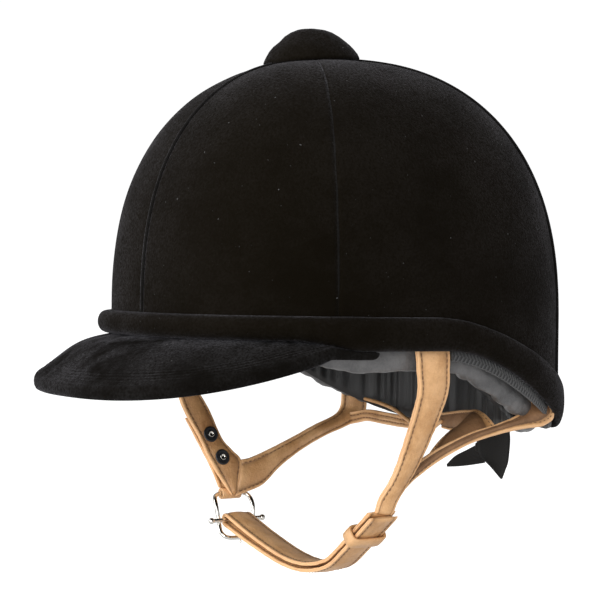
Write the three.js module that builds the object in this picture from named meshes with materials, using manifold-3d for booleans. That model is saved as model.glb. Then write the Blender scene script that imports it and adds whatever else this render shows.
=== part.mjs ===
// Velvet-covered riding helmet with a padded leather harness and a buckled chin strap.
//
// Millimetres, +Z up. The wearer looks along -Y and the wearer's left side is +X.
// The model is drawn about the skull's front edge and then lowered, so that the origin of the
// finished part is the middle of the crown pad's flat face, where the helmet rests on a head.

import * as THREE from 'three';
import { mergeVertices } from 'three/addons/utils/BufferGeometryUtils.js';
import Module from 'manifold-3d';

const wasm = await Module();
wasm.setup();

// ---- Skull: an oval seen from above, and a dome seen from the side ----
const HALF_LENGTH = 126.6;
const HALF_WIDTH = 107.6;
const OVAL_POWER = 2.5; // 2 is an ellipse, higher is squarer
const EQUATOR_Z = 14; // the wall is upright below this height
const DOME_HEIGHT = 144.2;
const DOME_POWER = 2.38;
const DOME_LEAN = 2.7; // the dome's top sits this far forward
const POLE_SHIFT = 18.3; // the seams meet this far forward of the dome's middle
const TURN_STEP = 7.5; // degrees between the columns of every shell

// ---- Rim line: level at the peak, a little lower at the ears, low at the nape ----
const EAR_DROP = 5;
const EAR_FROM = 50;
const EAR_TO = 66;
const NAPE_DROP = 48;
const NAPE_FROM = 88;
const NAPE_TO = 152;
const BAND_HEIGHT = 12;
const BAND_TOP_DROP = 40;
const BAND_TOP_FROM = 85;
const BAND_BULGE = 7;
const BAND_NAPE_BULGE = 3.6;
const BAND_SLIMS = { from: 85, to: 150 }; // degrees from the front

// ---- Layers, outwards positive, counted from the shell's outer face ----
const GAP = 0.4;
const SHELL_THICKNESS = 4;
const VELVET_THICKNESS = 1.2;
const FOAM_THICKNESS = 14;
const LINING_THICKNESS = 1;
const STRAP_OFFSET = -7.1; // straps run between the shell and the padded headband
const ROLL_OUTER = -9.2;
const ROLL_INNER = -18.4;
const ROLL_ABOVE_RIM = 8;
const ROLL_BELOW_RIM = 12;
const SHELL_ABOVE_RIM = 3;
const FOAM_ABOVE_RIM = 26;
const LINING_BELOW_RIM = 9;
const BINDING_BELOW_RIM = 4.5;
const NAPE_TUCK = 0.7; // share by which the headband, lining and tape are tucked up at the nape
const NAPE_TUCK_TURNS = { from: 112, to: 145 }; // degrees from the front
const BINDING_OUTER = -1.8;
const BINDING_INNER = -3.2;

// ---- Peak ----
const PEAK_REACH = 42;
const PEAK_SLOPE = 30; // degrees below level
const PEAK_END = 67.6; // degrees either side of the front
const PEAK_END_RISE = 1.6;
const PEAK_CAMBER = 4.6;
const PEAK_ROOT_OFFSET = 1.2;
const PEAK_COVER = 1.2;
const PEAK_BOARD = 2.4;
const PEAK_GAP = 0.8;
const PEAK_END_THINNESS = 0.85; // share of the thickness left at the two ends

// ---- Crown fittings ----
const SEAM_TURNS = [0, 60, 135, 180]; // front, side, rear and back seams on the left half
const PANEL_TOP_LATITUDE = 86;
const DOME_ROWS = 8;
const BUTTON_RADIUS = 27;
const BUTTON_TOP_Z = 176.9;
const BUTTON_LIFT = VELVET_THICKNESS + 2 * GAP;
const BUTTON_RINGS = [0, 0.35, 0.65, 0.85, 1]; // shares of the radius
const BUTTON_POWER = 2.4; // 2 is an ellipse, higher is fuller
const BUTTON_EDGE = 0.92; // 1 brings the cap down to its base, lower leaves a side wall
const RIVET_SHANK = 2.6;
const WASHER_RADIUS = 7;
const WASHER_Z = 150.8; // just inside the shell's top
const WASHER_THICKNESS = 1.4;
const WASHER_POCKET = 4; // how far the foam's pocket goes below the washer
const CROWN_PAD_RADIUS = 31;
const CROWN_SEAT_Z = 130;

// ---- Leather harness ----
const LEATHER = 3;
const NAPE_LEATHER = 2.6;
const TAB_LEATHER = 2;
const ARM_WIDTH = 13;
const LEFT_ANCHOR_TURN = 84;
const RIGHT_ANCHOR_TURN = -57;
const REAR_ANCHOR_TURN = 128;
const FRONT_ANCHOR_Z = 10;
const REAR_ANCHOR_Z = -15;
const RIVET_DROP = { front: 9, rear: 7 }; // rivets sit this far below the strap's upper end
const STRAP_RIVET_RADIUS = 2.4;
const STRAP_RIVET_HEAD = 4.2;
const LACE_RADIUS = 1.2;
const RIBBON = 0.8;
const STUD_SOCKET_RADIUS = 4.4;
const STUD_CAP_RADIUS = 5;
const STUD_HEIGHT = 1.4;
const TAB_STANDOFF = 1.9; // from the strap's face to the middle of the tab

// ---- Chin strap, drawn in an upright plane across the wearer ----
const CHIN_Y = -22;
const CHIN_WIDTH = 18;
const CHIN_LAYER = 2;
const CHIN_BAR = { x: -72, z: -115 }; // the bar the strap turns round
const CHIN_LOOP_RADIUS = 3.4;
const PRONG_SLOT = 4.4;
const CHIN_NEAR_GAP = 2.1; // half the distance between the two layers at the left end
const KEEPER_SPOT = { x: 62, z: -107.6 };
const KEEPER_LENGTH = 8;
const KEEPER_WALL = 1.6;

// ---- Buckle ----
const WIRE = 1.3;
const BUCKLE_TOP = { x: -81, z: -100 };
const BUCKLE_FOOT = { x: -66.4, z: -125.2 };
const BUCKLE_WIDTH = 26;
const BAR_OVERHANG = 5;
const BAR_BALL = 1.9;
const FRAME_SQUARENESS = 5; // 2 is an ellipse, higher is a squarer ring
const PRONG_RADIUS = 0.8;
const PRONG_EYE = { ring: 2.25, wire: 0.6 };
const TAB_TUBE_WALL = 1.7;
const TAB_TUBE_CLEARANCE = 0.5;

const velvet = surface(0x1c1b1d, 0.95, 0);
const hardShell = surface(0x2b2b2c, 0.5, 0);
const foam = surface(0x3a3a3b, 0.9, 0);
const softBlack = surface(0x202022, 0.7, 0);
const satin = surface(0x2a2a2c, 0.45, 0);
const tape = surface(0x18181a, 0.85, 0);
const leather = surface(0xcda678, 0.55, 0);
const nickel = surface(0xd5d2cb, 0.2, 1);
const gunmetal = surface(0x34353a, 0.4, 0.8);

function surface(colour, roughness, metalness) {
  return new THREE.MeshStandardMaterial({ color: colour, roughness, metalness });
}

function mix(from, to, share) {
  return from + (to - from) * share;
}

function smooth(value, from, to) {
  return THREE.MathUtils.smoothstep(value, from, to);
}

// ---- Turning three.js shapes into tidy closed bodies ----

// Welds shared corners, drops triangles that fell flat, and turns the faces outwards.
function closedBody(source) {
  const bare = source.clone();
  for (const name of Object.keys(bare.attributes)) {
    if (name !== 'position') bare.deleteAttribute(name);
  }
  const welded = mergeVertices(bare, 1e-4);
  const corners = welded.index.array;
  const kept = [];
  for (let i = 0; i < corners.length; i += 3) {
    const [a, b, c] = [corners[i], corners[i + 1], corners[i + 2]];
    if (a !== b && b !== c && c !== a) kept.push(a, b, c);
  }
  if (volumeOf(welded.attributes.position, kept) < 0) {
    for (let i = 0; i < kept.length; i += 3) {
      [kept[i + 1], kept[i + 2]] = [kept[i + 2], kept[i + 1]];
    }
  }
  welded.setIndex(kept);
  welded.computeVertexNormals();
  return welded;
}

function volumeOf(position, corners) {
  const a = new THREE.Vector3();
  const b = new THREE.Vector3();
  const c = new THREE.Vector3();
  let sum = 0;
  for (let i = 0; i < corners.length; i += 3) {
    a.fromBufferAttribute(position, corners[i]);
    b.fromBufferAttribute(position, corners[i + 1]);
    c.fromBufferAttribute(position, corners[i + 2]);
    sum += a.dot(b.cross(c));
  }
  return sum / 6;
}

// A box of unit size whose every point (u, v, w), each 0 to 1, is carried to place(u, v, w).
function bentBox(columns, rows, layers, place) {
  const box = new THREE.BoxGeometry(1, 1, 1, columns, rows, layers);
  const position = box.attributes.position;
  for (let i = 0; i < position.count; i += 1) {
    const p = place(position.getX(i) + 0.5, position.getY(i) + 0.5, position.getZ(i) + 0.5);
    position.setXYZ(i, p.x, p.y, p.z);
  }
  return closedBody(box);
}

// A lathe whose every corner is carried to place(turn in degrees, station of the profile).
function turnedSolid(stations, turns, place) {
  const profile = stations.map((_, index) => new THREE.Vector2(1 + index, index));
  const lathe = new THREE.LatheGeometry(profile, turns);
  const position = lathe.attributes.position;
  for (let i = 0; i < position.count; i += 1) {
    const column = Math.floor(i / stations.length) % turns;
    const p = place((column * 360) / turns, stations[i % stations.length]);
    position.setXYZ(i, p.x, p.y, p.z);
  }
  return closedBody(lathe);
}

function manifoldOf(geometry) {
  const body = closedBody(geometry);
  const mesh = new wasm.Mesh({
    numProp: 3,
    vertProperties: Float32Array.from(body.attributes.position.array),
    triVerts: Uint32Array.from(body.index.array),
  });
  return new wasm.Manifold(mesh);
}

function geometryOf(solid) {
  const mesh = solid.getMesh();
  const geometry = new THREE.BufferGeometry();
  geometry.setAttribute('position', new THREE.BufferAttribute(mesh.vertProperties, 3));
  geometry.setIndex(new THREE.BufferAttribute(mesh.triVerts, 1));
  return closedBody(geometry);
}

function cut(geometry, ...tools) {
  const rest = (solid, tool) => solid.subtract(manifoldOf(tool));
  return geometryOf(tools.reduce(rest, manifoldOf(geometry)));
}

function join(geometry, ...extras) {
  const both = (solid, extra) => solid.add(manifoldOf(extra));
  return geometryOf(extras.reduce(both, manifoldOf(geometry)));
}

// A cylinder from one point to another.
function rod(from, to, radius, sides = 12) {
  const axis = to.clone().sub(from);
  const cylinder = new THREE.CylinderGeometry(radius, radius, axis.length(), sides);
  const upright = new THREE.Vector3(0, 1, 0);
  const turn = new THREE.Quaternion().setFromUnitVectors(upright, axis.normalize());
  cylinder.applyQuaternion(turn);
  const middle = from.clone().add(to).multiplyScalar(0.5);
  return cylinder.translate(middle.x, middle.y, middle.z);
}

// ---- The skull's surface ----

function ovalRadius(turn) {
  const across = Math.abs(Math.sin(turn)) ** OVAL_POWER;
  const along = Math.abs(Math.cos(turn)) ** OVAL_POWER;
  return (across + along) ** (-1 / OVAL_POWER);
}

// A point of the upright wall: degrees round from the front, distance outwards, height.
function wallPoint(degrees, offset, z) {
  const turn = THREE.MathUtils.degToRad(degrees);
  const size = ovalRadius(turn) * (1 + offset / HALF_WIDTH);
  const x = HALF_WIDTH * size * Math.sin(turn);
  const y = -HALF_LENGTH * size * Math.cos(turn);
  return new THREE.Vector3(x, y, z);
}

function outwardAt(degrees) {
  const turn = THREE.MathUtils.degToRad(degrees);
  const out = new THREE.Vector3(Math.sin(turn) / HALF_WIDTH, -Math.cos(turn) / HALF_LENGTH, 0);
  return out.normalize();
}

// Height of the dome over a point of the plan, for a layer at this offset.
function domeHeight(x, y, offset) {
  const grow = 1 + offset / HALF_WIDTH;
  const across = (Math.abs(x) / (HALF_WIDTH * grow)) ** OVAL_POWER;
  const along = (Math.abs(y) / (HALF_LENGTH * grow)) ** OVAL_POWER;
  const reach = Math.min(1, (across + along) ** (1 / OVAL_POWER));
  return (DOME_HEIGHT + offset) * (1 - reach ** DOME_POWER) ** (1 / DOME_POWER);
}

// A point of the dome: latitude 0 is the equator and 90 the pole where the seams meet.
function domePoint(degrees, latitude, offset) {
  const turn = THREE.MathUtils.degToRad(degrees);
  const ring = Math.max(0, Math.cos(THREE.MathUtils.degToRad(latitude))) ** (2 / DOME_POWER);
  const grow = 1 + offset / HALF_WIDTH;
  const size = ring * ovalRadius(turn);
  const x = HALF_WIDTH * size * Math.sin(turn) * grow;
  const y = (-HALF_LENGTH * size * Math.cos(turn) - POLE_SHIFT * (1 - ring)) * grow;
  const height = domeHeight(x, y, offset);
  return new THREE.Vector3(x, y - (DOME_LEAN * height) / DOME_HEIGHT, EQUATOR_Z + height);
}

function sideTurn(degrees) {
  return Math.abs(degrees > 180 ? degrees - 360 : degrees);
}

function rimHeight(degrees) {
  const side = sideTurn(degrees);
  return -EAR_DROP * smooth(side, EAR_FROM, EAR_TO) - NAPE_DROP * smooth(side, NAPE_FROM, NAPE_TO);
}

function bandTop(degrees) {
  return BAND_HEIGHT - BAND_TOP_DROP * smooth(sideTurn(degrees), BAND_TOP_FROM, NAPE_TO);
}

// ---- Skull layers ----

function domeLatitudes() {
  return Array.from({ length: DOME_ROWS + 1 }, (_, row) => (PANEL_TOP_LATITUDE * row) / DOME_ROWS);
}

// A closed dome: its outer face, then its inner face back to the lower edge.
function domeShell(outerOffset, thickness, lowerEdge) {
  const latitudes = [...domeLatitudes(), 90];
  const side = (offset) => [
    { offset, wall: true },
    ...latitudes.map((latitude) => ({ offset, latitude })),
  ];
  const outside = side(outerOffset);
  const inside = side(outerOffset - thickness).reverse();
  return turnedSolid([...outside, ...inside, outside[0]], 360 / TURN_STEP, (turn, station) =>
    station.wall
      ? wallPoint(turn, station.offset, lowerEdge(turn))
      : domePoint(turn, station.latitude, station.offset),
  );
}

function polePoint(z) {
  return new THREE.Vector3(0, -POLE_SHIFT - DOME_LEAN, z);
}

function buttonRivetHole() {
  const inside = polePoint(EQUATOR_Z + DOME_HEIGHT - 3 * SHELL_THICKNESS);
  return rod(inside, polePoint(BUTTON_TOP_Z), RIVET_SHANK + GAP, 16);
}

function strapRivetHole(anchor) {
  const outward = outwardAt(anchor.turn).multiplyScalar(3 * SHELL_THICKNESS);
  const from = anchor.point.clone().sub(outward);
  const to = anchor.point.clone().add(outward);
  return rod(from, to, STRAP_RIVET_RADIUS + GAP);
}

function outerShell(anchors) {
  const shell = domeShell(0, SHELL_THICKNESS, (turn) => rimHeight(turn) + SHELL_ABOVE_RIM);
  return cut(shell, buttonRivetHole(), ...anchors.map(strapRivetHole));
}

function foamLiner() {
  const liner = domeShell(-SHELL_THICKNESS - GAP, FOAM_THICKNESS, (turn) =>
    Math.min(rimHeight(turn) + FOAM_ABOVE_RIM, EQUATOR_Z - 1),
  );
  const floor = polePoint(WASHER_Z - WASHER_POCKET);
  const mouth = polePoint(EQUATOR_Z + DOME_HEIGHT);
  return cut(liner, rod(floor, mouth, WASHER_RADIUS + 1, 16));
}

function satinLining() {
  const outer = -SHELL_THICKNESS - FOAM_THICKNESS - 2.5 * GAP;
  return domeShell(outer, LINING_THICKNESS, (turn) => rimHeight(turn) - tucked(turn, LINING_BELOW_RIM));
}

// One velvet panel between two seams, from the hat band up to the button.
function velvetPanel(fromTurn, toTurn) {
  const columns = Math.round((toTurn - fromTurn) / TURN_STEP);
  const wallRows = 2;
  const rows = DOME_ROWS + wallRows;
  return bentBox(columns, rows, 1, (u, v, w) => {
    const row = Math.round(v * rows);
    const offset = GAP + w * VELVET_THICKNESS;
    const turn = mix(fromTurn, toTurn, u);
    const seam = new THREE.Vector3();
    if (u === 0) seam.copy(alongWall(turn)).multiplyScalar(GAP / 2);
    if (u === 1) seam.copy(alongWall(turn)).multiplyScalar(-GAP / 2);
    if (row < wallRows) {
      const z = mix(bandTop(turn) + GAP, EQUATOR_Z, row / wallRows);
      return wallPoint(turn, offset, z).add(seam);
    }
    const latitude = (PANEL_TOP_LATITUDE * (row - wallRows)) / DOME_ROWS;
    return domePoint(turn, latitude, offset).add(seam);
  });
}

// Horizontal direction along the wall, towards larger turns.
function alongWall(degrees) {
  const out = outwardAt(degrees);
  return new THREE.Vector3(-out.y, out.x, 0);
}

// How far below the rim a part reaches: less at the nape, where it is tucked up inside.
function tucked(turn, below) {
  return below * (1 - NAPE_TUCK * smooth(sideTurn(turn), NAPE_TUCK_TURNS.from, NAPE_TUCK_TURNS.to));
}

// The padded velvet roll round the shell: a D-shaped section, flat side inwards.
function hatBand() {
  const steps = 6;
  const bulge = Array.from({ length: steps + 1 }, (_, i) => (i / steps - 0.5) * Math.PI);
  return turnedSolid([...bulge, bulge[0]], 360 / TURN_STEP, (turn, bend) => {
    const share = 0.5 + 0.5 * Math.sin(bend);
    const z = mix(rimHeight(turn) + GAP, bandTop(turn) - GAP, share);
    const slimmed = smooth(sideTurn(turn), BAND_SLIMS.from, BAND_SLIMS.to);
    const bulgeHere = mix(BAND_BULGE, BAND_NAPE_BULGE, slimmed);
    return wallPoint(turn, GAP + bulgeHere * Math.cos(bend), z);
  });
}

// The padded leather headband: a rounded roll inside the rim.
function headband() {
  const steps = 8;
  const section = Array.from({ length: steps + 1 }, (_, i) => ((i % steps) * 2 * Math.PI) / steps);
  const middle = (ROLL_OUTER + ROLL_INNER) / 2;
  const halfDepth = (ROLL_OUTER - ROLL_INNER) / 2;
  return turnedSolid(section, 360 / TURN_STEP, (turn, bend) => {
    const halfHeight = (ROLL_ABOVE_RIM + tucked(turn, ROLL_BELOW_RIM)) / 2;
    const z = rimHeight(turn) + ROLL_ABOVE_RIM - halfHeight + halfHeight * Math.sin(bend);
    return wallPoint(turn, middle + halfDepth * Math.cos(bend), z);
  });
}

// Woven tape under the shell's edge, from one end of the peak round the nape to the other.
function rimBinding() {
  const columns = 30;
  return bentBox(columns, 1, 1, (u, v, w) => {
    const turn = mix(PEAK_END, 360 - PEAK_END, u);
    const z = rimHeight(turn) + mix(-tucked(turn, BINDING_BELOW_RIM), SHELL_ABOVE_RIM - GAP, v);
    return wallPoint(turn, mix(BINDING_INNER, BINDING_OUTER, w), z);
  });
}

// ---- Peak: a point below its top surface, from side to side and from root to edge ----

function peakPoint(across, outward, depth) {
  const turn = across * PEAK_END;
  const span = Math.max(0, 1 - Math.abs(across) ** 3.1) ** 1.9;
  const reach = Math.max(1.6, PEAK_REACH * span + 4 - PEAK_ROOT_OFFSET);
  const root = wallPoint(turn, PEAK_ROOT_OFFSET, rimHeight(turn) - GAP);
  const fall = PEAK_REACH * span * Math.tan(THREE.MathUtils.degToRad(PEAK_SLOPE));
  const edgeZ = -GAP - fall + PEAK_END_RISE * across ** 2;
  const point = root.clone().addScaledVector(outwardAt(turn), reach * outward);
  const camber = PEAK_CAMBER * span * Math.sin(outward * Math.PI);
  const thin = mix(PEAK_END_THINNESS, 1, Math.min(1, 2 * span));
  point.z = mix(root.z, Math.min(edgeZ, root.z), outward) + camber - depth * thin;
  return point;
}

function peakLayer(depth, thickness) {
  return bentBox(18, 4, 1, (u, v, w) => peakPoint(2 * u - 1, v, depth + w * thickness));
}

// ---- Crown fittings ----

// The velvet-covered button: its underside follows the dome and its top is a low cap.
function crownButton() {
  const stations = [
    ...BUTTON_RINGS.map((ring) => ({ ring, top: false })),
    ...BUTTON_RINGS.map((ring) => ({ ring, top: true })).reverse(),
  ];
  const pole = polePoint(0);
  return turnedSolid(stations, 24, (turn, { ring, top }) => {
    const angle = THREE.MathUtils.degToRad(turn);
    const x = BUTTON_RADIUS * ring * Math.sin(angle);
    const y = pole.y - BUTTON_RADIUS * ring * Math.cos(angle);
    const base = EQUATOR_Z + domeHeight(x, y + DOME_LEAN, 0) + BUTTON_LIFT;
    const crown = mix(base, BUTTON_TOP_Z, Math.sqrt(1 - BUTTON_EDGE * ring ** BUTTON_POWER));
    return new THREE.Vector3(x, y, top ? crown : base);
  });
}

function buttonRivet() {
  const washerMiddle = WASHER_Z + WASHER_THICKNESS / 2;
  const shank = rod(polePoint(washerMiddle), polePoint(WASHER_Z + 2 * SHELL_THICKNESS), RIVET_SHANK);
  const washer = rod(polePoint(WASHER_Z), polePoint(WASHER_Z + WASHER_THICKNESS), WASHER_RADIUS, 16);
  return join(shank, washer);
}

function crownPad() {
  const profile = [
    [0, 0],
    [CROWN_PAD_RADIUS - 1, 0],
    [CROWN_PAD_RADIUS, 1],
    [CROWN_PAD_RADIUS - 1, 2.6],
    [20, 5.2],
    [8, 6.4],
    [0, 6.6],
  ];
  const outline = profile.map(([radius, height]) => new THREE.Vector2(radius, height));
  const pad = new THREE.LatheGeometry(outline, 32).rotateX(Math.PI / 2);
  return closedBody(pad.translate(0, 0, CROWN_SEAT_Z));
}

// ---- Leather straps ----

// A strap along a spine. Each key gives a point, the direction across the strap, and its width.
function strap(keys, thickness = LEATHER, steps = 14) {
  const spine = new THREE.CatmullRomCurve3(keys.map((key) => key.at));
  return bentBox(steps, 2, 1, (u, v, w) => {
    const here = u * (keys.length - 1);
    const index = Math.min(Math.floor(here), keys.length - 2);
    const share = here - index;
    const along = spine.getTangent(u);
    const across = keys[index].across.clone().lerp(keys[index + 1].across, share);
    across.addScaledVector(along, -across.dot(along)).normalize();
    const face = along.clone().cross(across);
    const width = mix(keys[index].width, keys[index + 1].width, share);
    const point = spine.getPoint(u).addScaledVector(across, (v - 0.5) * width);
    return point.addScaledVector(face, (w - 0.5) * thickness);
  });
}

function key(x, y, z, across, width) {
  return { at: new THREE.Vector3(x, y, z), across: new THREE.Vector3(...across), width };
}

function keyAt(point, across, width) {
  return { at: point, across, width };
}

// Where a strap's rivet goes through.
function anchorAt(turn, z) {
  return { turn, point: wallPoint(turn, STRAP_OFFSET, z) };
}

const ANCHORS = {
  leftFront: anchorAt(LEFT_ANCHOR_TURN, FRONT_ANCHOR_Z - RIVET_DROP.front),
  leftRear: anchorAt(REAR_ANCHOR_TURN, REAR_ANCHOR_Z - RIVET_DROP.rear),
  rightFront: anchorAt(RIGHT_ANCHOR_TURN, FRONT_ANCHOR_Z - RIVET_DROP.front),
  rightRear: anchorAt(-REAR_ANCHOR_TURN, REAR_ANCHOR_Z - RIVET_DROP.rear),
};

// The rivet's head lies on the strap's inner face and its shank ends flush in the shell.
function strapRivet(anchor) {
  const outward = outwardAt(anchor.turn);
  const at = (distance) => anchor.point.clone().addScaledVector(outward, distance);
  const face = -LEATHER / 2 - 0.3;
  const head = rod(at(face), at(face - 0.6), STRAP_RIVET_HEAD);
  const shank = rod(at(face - 0.2), at(-STRAP_OFFSET - 0.6), STRAP_RIVET_RADIUS);
  return join(head, shank);
}

function leftFrontStrap() {
  const tangent = alongWall(LEFT_ANCHOR_TURN);
  const body = strap([
    keyAt(wallPoint(LEFT_ANCHOR_TURN, STRAP_OFFSET, FRONT_ANCHOR_Z), tangent, 21),
    keyAt(wallPoint(LEFT_ANCHOR_TURN + 2, STRAP_OFFSET, -7), tangent, 21),
    key(97, -7.3, -30, [0, 1, 0], 19.5),
    key(90.5, -9.5, -57, [-0.1, 1, 0.1], 17),
    key(84.5, -13.5, -75, [-0.3, 0.9, 0.3], 15),
    key(79.5, -19, -86.5, [-0.3, 0.8, 0.5], 13),
  ]);
  return cut(body, strapRivetHole(ANCHORS.leftFront));
}

function leftRearArm() {
  const tangent = alongWall(REAR_ANCHOR_TURN).negate();
  const body = strap([
    key(74, -9, -79, [-0.7, 0.2, 0.6], 10),
    key(78, 9, -66, [-0.7, 0.2, 0.6], ARM_WIDTH),
    key(81, 34, -54.5, [-0.7, 0, 0.7], ARM_WIDTH),
    key(89.5, 54, -47.5, [-0.3, -0.3, 0.85], ARM_WIDTH),
    key(92.2, 67.5, -43.5, [0.3, -0.6, 0.5], ARM_WIDTH),
    keyAt(wallPoint(REAR_ANCHOR_TURN - 1, STRAP_OFFSET, -33), tangent, ARM_WIDTH),
    keyAt(wallPoint(REAR_ANCHOR_TURN, STRAP_OFFSET, REAR_ANCHOR_Z), tangent, ARM_WIDTH),
  ], LEATHER, 20);
  return cut(body, strapRivetHole(ANCHORS.leftRear));
}

function leftNapeStrap() {
  return strap([
    key(70, 33, -55, [0.1, 0.3, 1], 14),
    key(60, 47, -50, [0, 0.1, 1], 14),
    key(38, 63, -50, [0, 0.1, 1], 13),
    key(13.4, 68.5, -51.5, [0, 0.1, 1], 11.5),
  ], NAPE_LEATHER, 10);
}

function rightFrontStrap() {
  const tangent = alongWall(RIGHT_ANCHOR_TURN);
  const body = strap([
    keyAt(wallPoint(RIGHT_ANCHOR_TURN, STRAP_OFFSET, FRONT_ANCHOR_Z), tangent, 17),
    keyAt(wallPoint(RIGHT_ANCHOR_TURN - 2, STRAP_OFFSET, -7), tangent, 16.5),
    key(-90, -46.4, -41, [0, -1, 0], 15.5),
    key(-85, -34.6, -66, [0, -1, 0], 15.5),
    key(-80.5, -28.4, -80, [0, -1, 0], 15.5),
    key(-75.5, -22.6, -96, [0, -1, 0], 14),
  ]);
  return cut(body, strapRivetHole(ANCHORS.rightFront));
}

function rightRearArm() {
  const tangent = alongWall(-REAR_ANCHOR_TURN).negate();
  const body = strap([
    key(-74, -12, -91, [0.1, 0.5, -0.9], 15),
    key(-75.5, 6, -80.5, [0.1, 0.5, -0.9], 16),
    key(-77, 31, -68, [0.1, 0.5, -0.9], 16),
    key(-83.5, 50, -57, [0, 0.4, -0.9], ARM_WIDTH),
    key(-91.8, 66.5, -47, [0.2, 0.6, -0.6], ARM_WIDTH),
    keyAt(wallPoint(-REAR_ANCHOR_TURN, STRAP_OFFSET, -33), tangent, ARM_WIDTH),
    keyAt(wallPoint(-REAR_ANCHOR_TURN, STRAP_OFFSET, REAR_ANCHOR_Z), tangent, ARM_WIDTH),
  ], LEATHER, 20);
  return cut(body, strapRivetHole(ANCHORS.rightRear));
}

function rightNapeStrap() {
  return strap([
    key(-77, 58, -57, [0, 0.1, 1], 10),
    key(-62, 67, -52, [0, 0.1, 1], 12),
    key(-42, 70.5, -50.5, [0, 0.1, 1], 11.5),
    key(-20, 70.5, -54.5, [0, 0.1, 1], 8),
  ], NAPE_LEATHER, 10);
}

// A round cord through the given points.
function cord(points, radius, steps) {
  const circle = new THREE.Shape().absarc(0, 0, radius, 0, 2 * Math.PI);
  const path = new THREE.CatmullRomCurve3(points.map((point) => new THREE.Vector3(...point)));
  const sweep = { steps, curveSegments: 4, extrudePath: path };
  return closedBody(new THREE.ExtrudeGeometry(circle, sweep));
}

function napeLace() {
  const line = [
    [-34, 66.6, -49],
    [-18, 66, -53],
    [-5, 66.5, -58],
    [6, 66, -57],
    [18, 64.5, -51.5],
  ];
  return cord(line, LACE_RADIUS, 16);
}

function laceKnot() {
  const knot = new THREE.SphereGeometry(3, 10, 8);
  knot.scale(1.3, 0.9, 0.9);
  return closedBody(knot.translate(3.5, 62, -61));
}

// ---- Drawstring bow under the nape ----

function bowKnot() {
  return closedBody(new THREE.BoxGeometry(9, 4, 7).translate(4, 107, -70));
}

function bowTail(keys) {
  return strap(keys, RIBBON, 8);
}

function bowRightTail() {
  return bowTail([
    key(-1.4, 106.6, -72.5, [0.2, 0, 1], 11),
    key(-14, 106.4, -78, [0.3, 0, 1], 9),
    key(-27, 105.8, -84, [0.5, 0, 1], 4),
  ]);
}

function bowLeftTail() {
  return bowTail([
    key(11, 106.4, -70, [0.6, 0, 1], 9),
    key(19, 106.4, -74, [1, 0, 1], 24),
    key(27, 105.8, -84, [1, 0, 0.6], 8),
  ]);
}

// ---- Press studs ----

const STUDS = [
  new THREE.Vector3(-85.3, -35.5, -64.5),
  new THREE.Vector3(-81, -29.4, -78.3),
];
const STRAP_OUTWARD = new THREE.Vector3(-0.955, 0, -0.296); // out of the right front strap's face

// A stud's socket: a disc on the strap's inner face.
function studSocket(centre) {
  const at = (distance) => centre.clone().addScaledVector(STRAP_OUTWARD, distance);
  const face = -LEATHER / 2 - 0.7;
  return closedBody(rod(at(face), at(face - STUD_HEIGHT), STUD_SOCKET_RADIUS, 16));
}

// A stud's cap: a disc on the tab's outer face.
function studCap(centre) {
  const at = (distance) => centre.clone().addScaledVector(STRAP_OUTWARD, distance);
  const face = LEATHER / 2 + TAB_STANDOFF + TAB_LEATHER / 2 + GAP;
  return closedBody(rod(at(face), at(face + STUD_HEIGHT), STUD_CAP_RADIUS, 16));
}

// ---- Chin strap ----

function chinMiddleLine() {
  const sag = new THREE.SplineCurve([
    new THREE.Vector2(CHIN_BAR.x, CHIN_BAR.z),
    new THREE.Vector2(-42, -123.2),
    new THREE.Vector2(-10, -130),
    new THREE.Vector2(14, -131),
    new THREE.Vector2(36, -126),
    new THREE.Vector2(50, -117),
  ]);
  return [...sag.getPoints(20), new THREE.Vector2(64, -106), new THREE.Vector2(79, -94.4)];
}

// Points beside a line, at a distance that changes from its start to its end.
function beside(line, startGap, endGap) {
  return line.map((point, i) => {
    const before = line[Math.max(i - 1, 0)];
    const after = line[Math.min(i + 1, line.length - 1)];
    const along = after.clone().sub(before).normalize();
    const gap = mix(startGap, endGap, i / (line.length - 1));
    return new THREE.Vector2(point.x - along.y * gap, point.y + along.x * gap);
  });
}

// The outline of a strip of leather seen edge on.
function stripShape(line, thickness) {
  const left = beside(line, thickness / 2, thickness / 2);
  const right = beside(line, -thickness / 2, -thickness / 2);
  return new THREE.Shape([...left, ...right.reverse()]);
}

// Extrudes a shape drawn in the upright plane across the wearer, centred at depth y.
function acrossSolid(shape, width, y) {
  const sweep = { depth: width, bevelEnabled: false, curveSegments: 12 };
  const solid = new THREE.ExtrudeGeometry(shape, sweep).rotateX(Math.PI / 2);
  return closedBody(solid.translate(0, y + width / 2, 0));
}

// One strip doubled round the buckle's bar: the inner layer starts at the left junction,
// and the outer layer comes back from the bar to the free billet end.
function chinStrap() {
  const middle = chinMiddleLine();
  const inner = beside(middle, CHIN_LOOP_RADIUS, CHIN_NEAR_GAP).reverse();
  const outer = beside(middle, -CHIN_LOOP_RADIUS, -CHIN_NEAR_GAP);
  const start = inner[inner.length - 1].clone().sub(middle[0]).angle();
  const loop = [1, 2, 3, 4, 5].map((step) => {
    const angle = start + (Math.PI * step) / 6;
    const spoke = new THREE.Vector2(Math.cos(angle), Math.sin(angle));
    return spoke.multiplyScalar(CHIN_LOOP_RADIUS).add(middle[0]);
  });
  const outline = stripShape([...inner, ...loop, ...outer], CHIN_LAYER);
  const strip = acrossSolid(outline, CHIN_WIDTH, CHIN_Y);
  return cut(strip, slotPart(-7, 2, -5, 4), slotPart(-7, 5.5, -8, -1.5));
}

// Part of the slot that lets the prong through the fold: a box measured from the bar.
function slotPart(left, right, low, high) {
  const box = new THREE.BoxGeometry(right - left, PRONG_SLOT, high - low);
  return box.translate(CHIN_BAR.x + (left + right) / 2, CHIN_Y, CHIN_BAR.z + (low + high) / 2);
}

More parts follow.
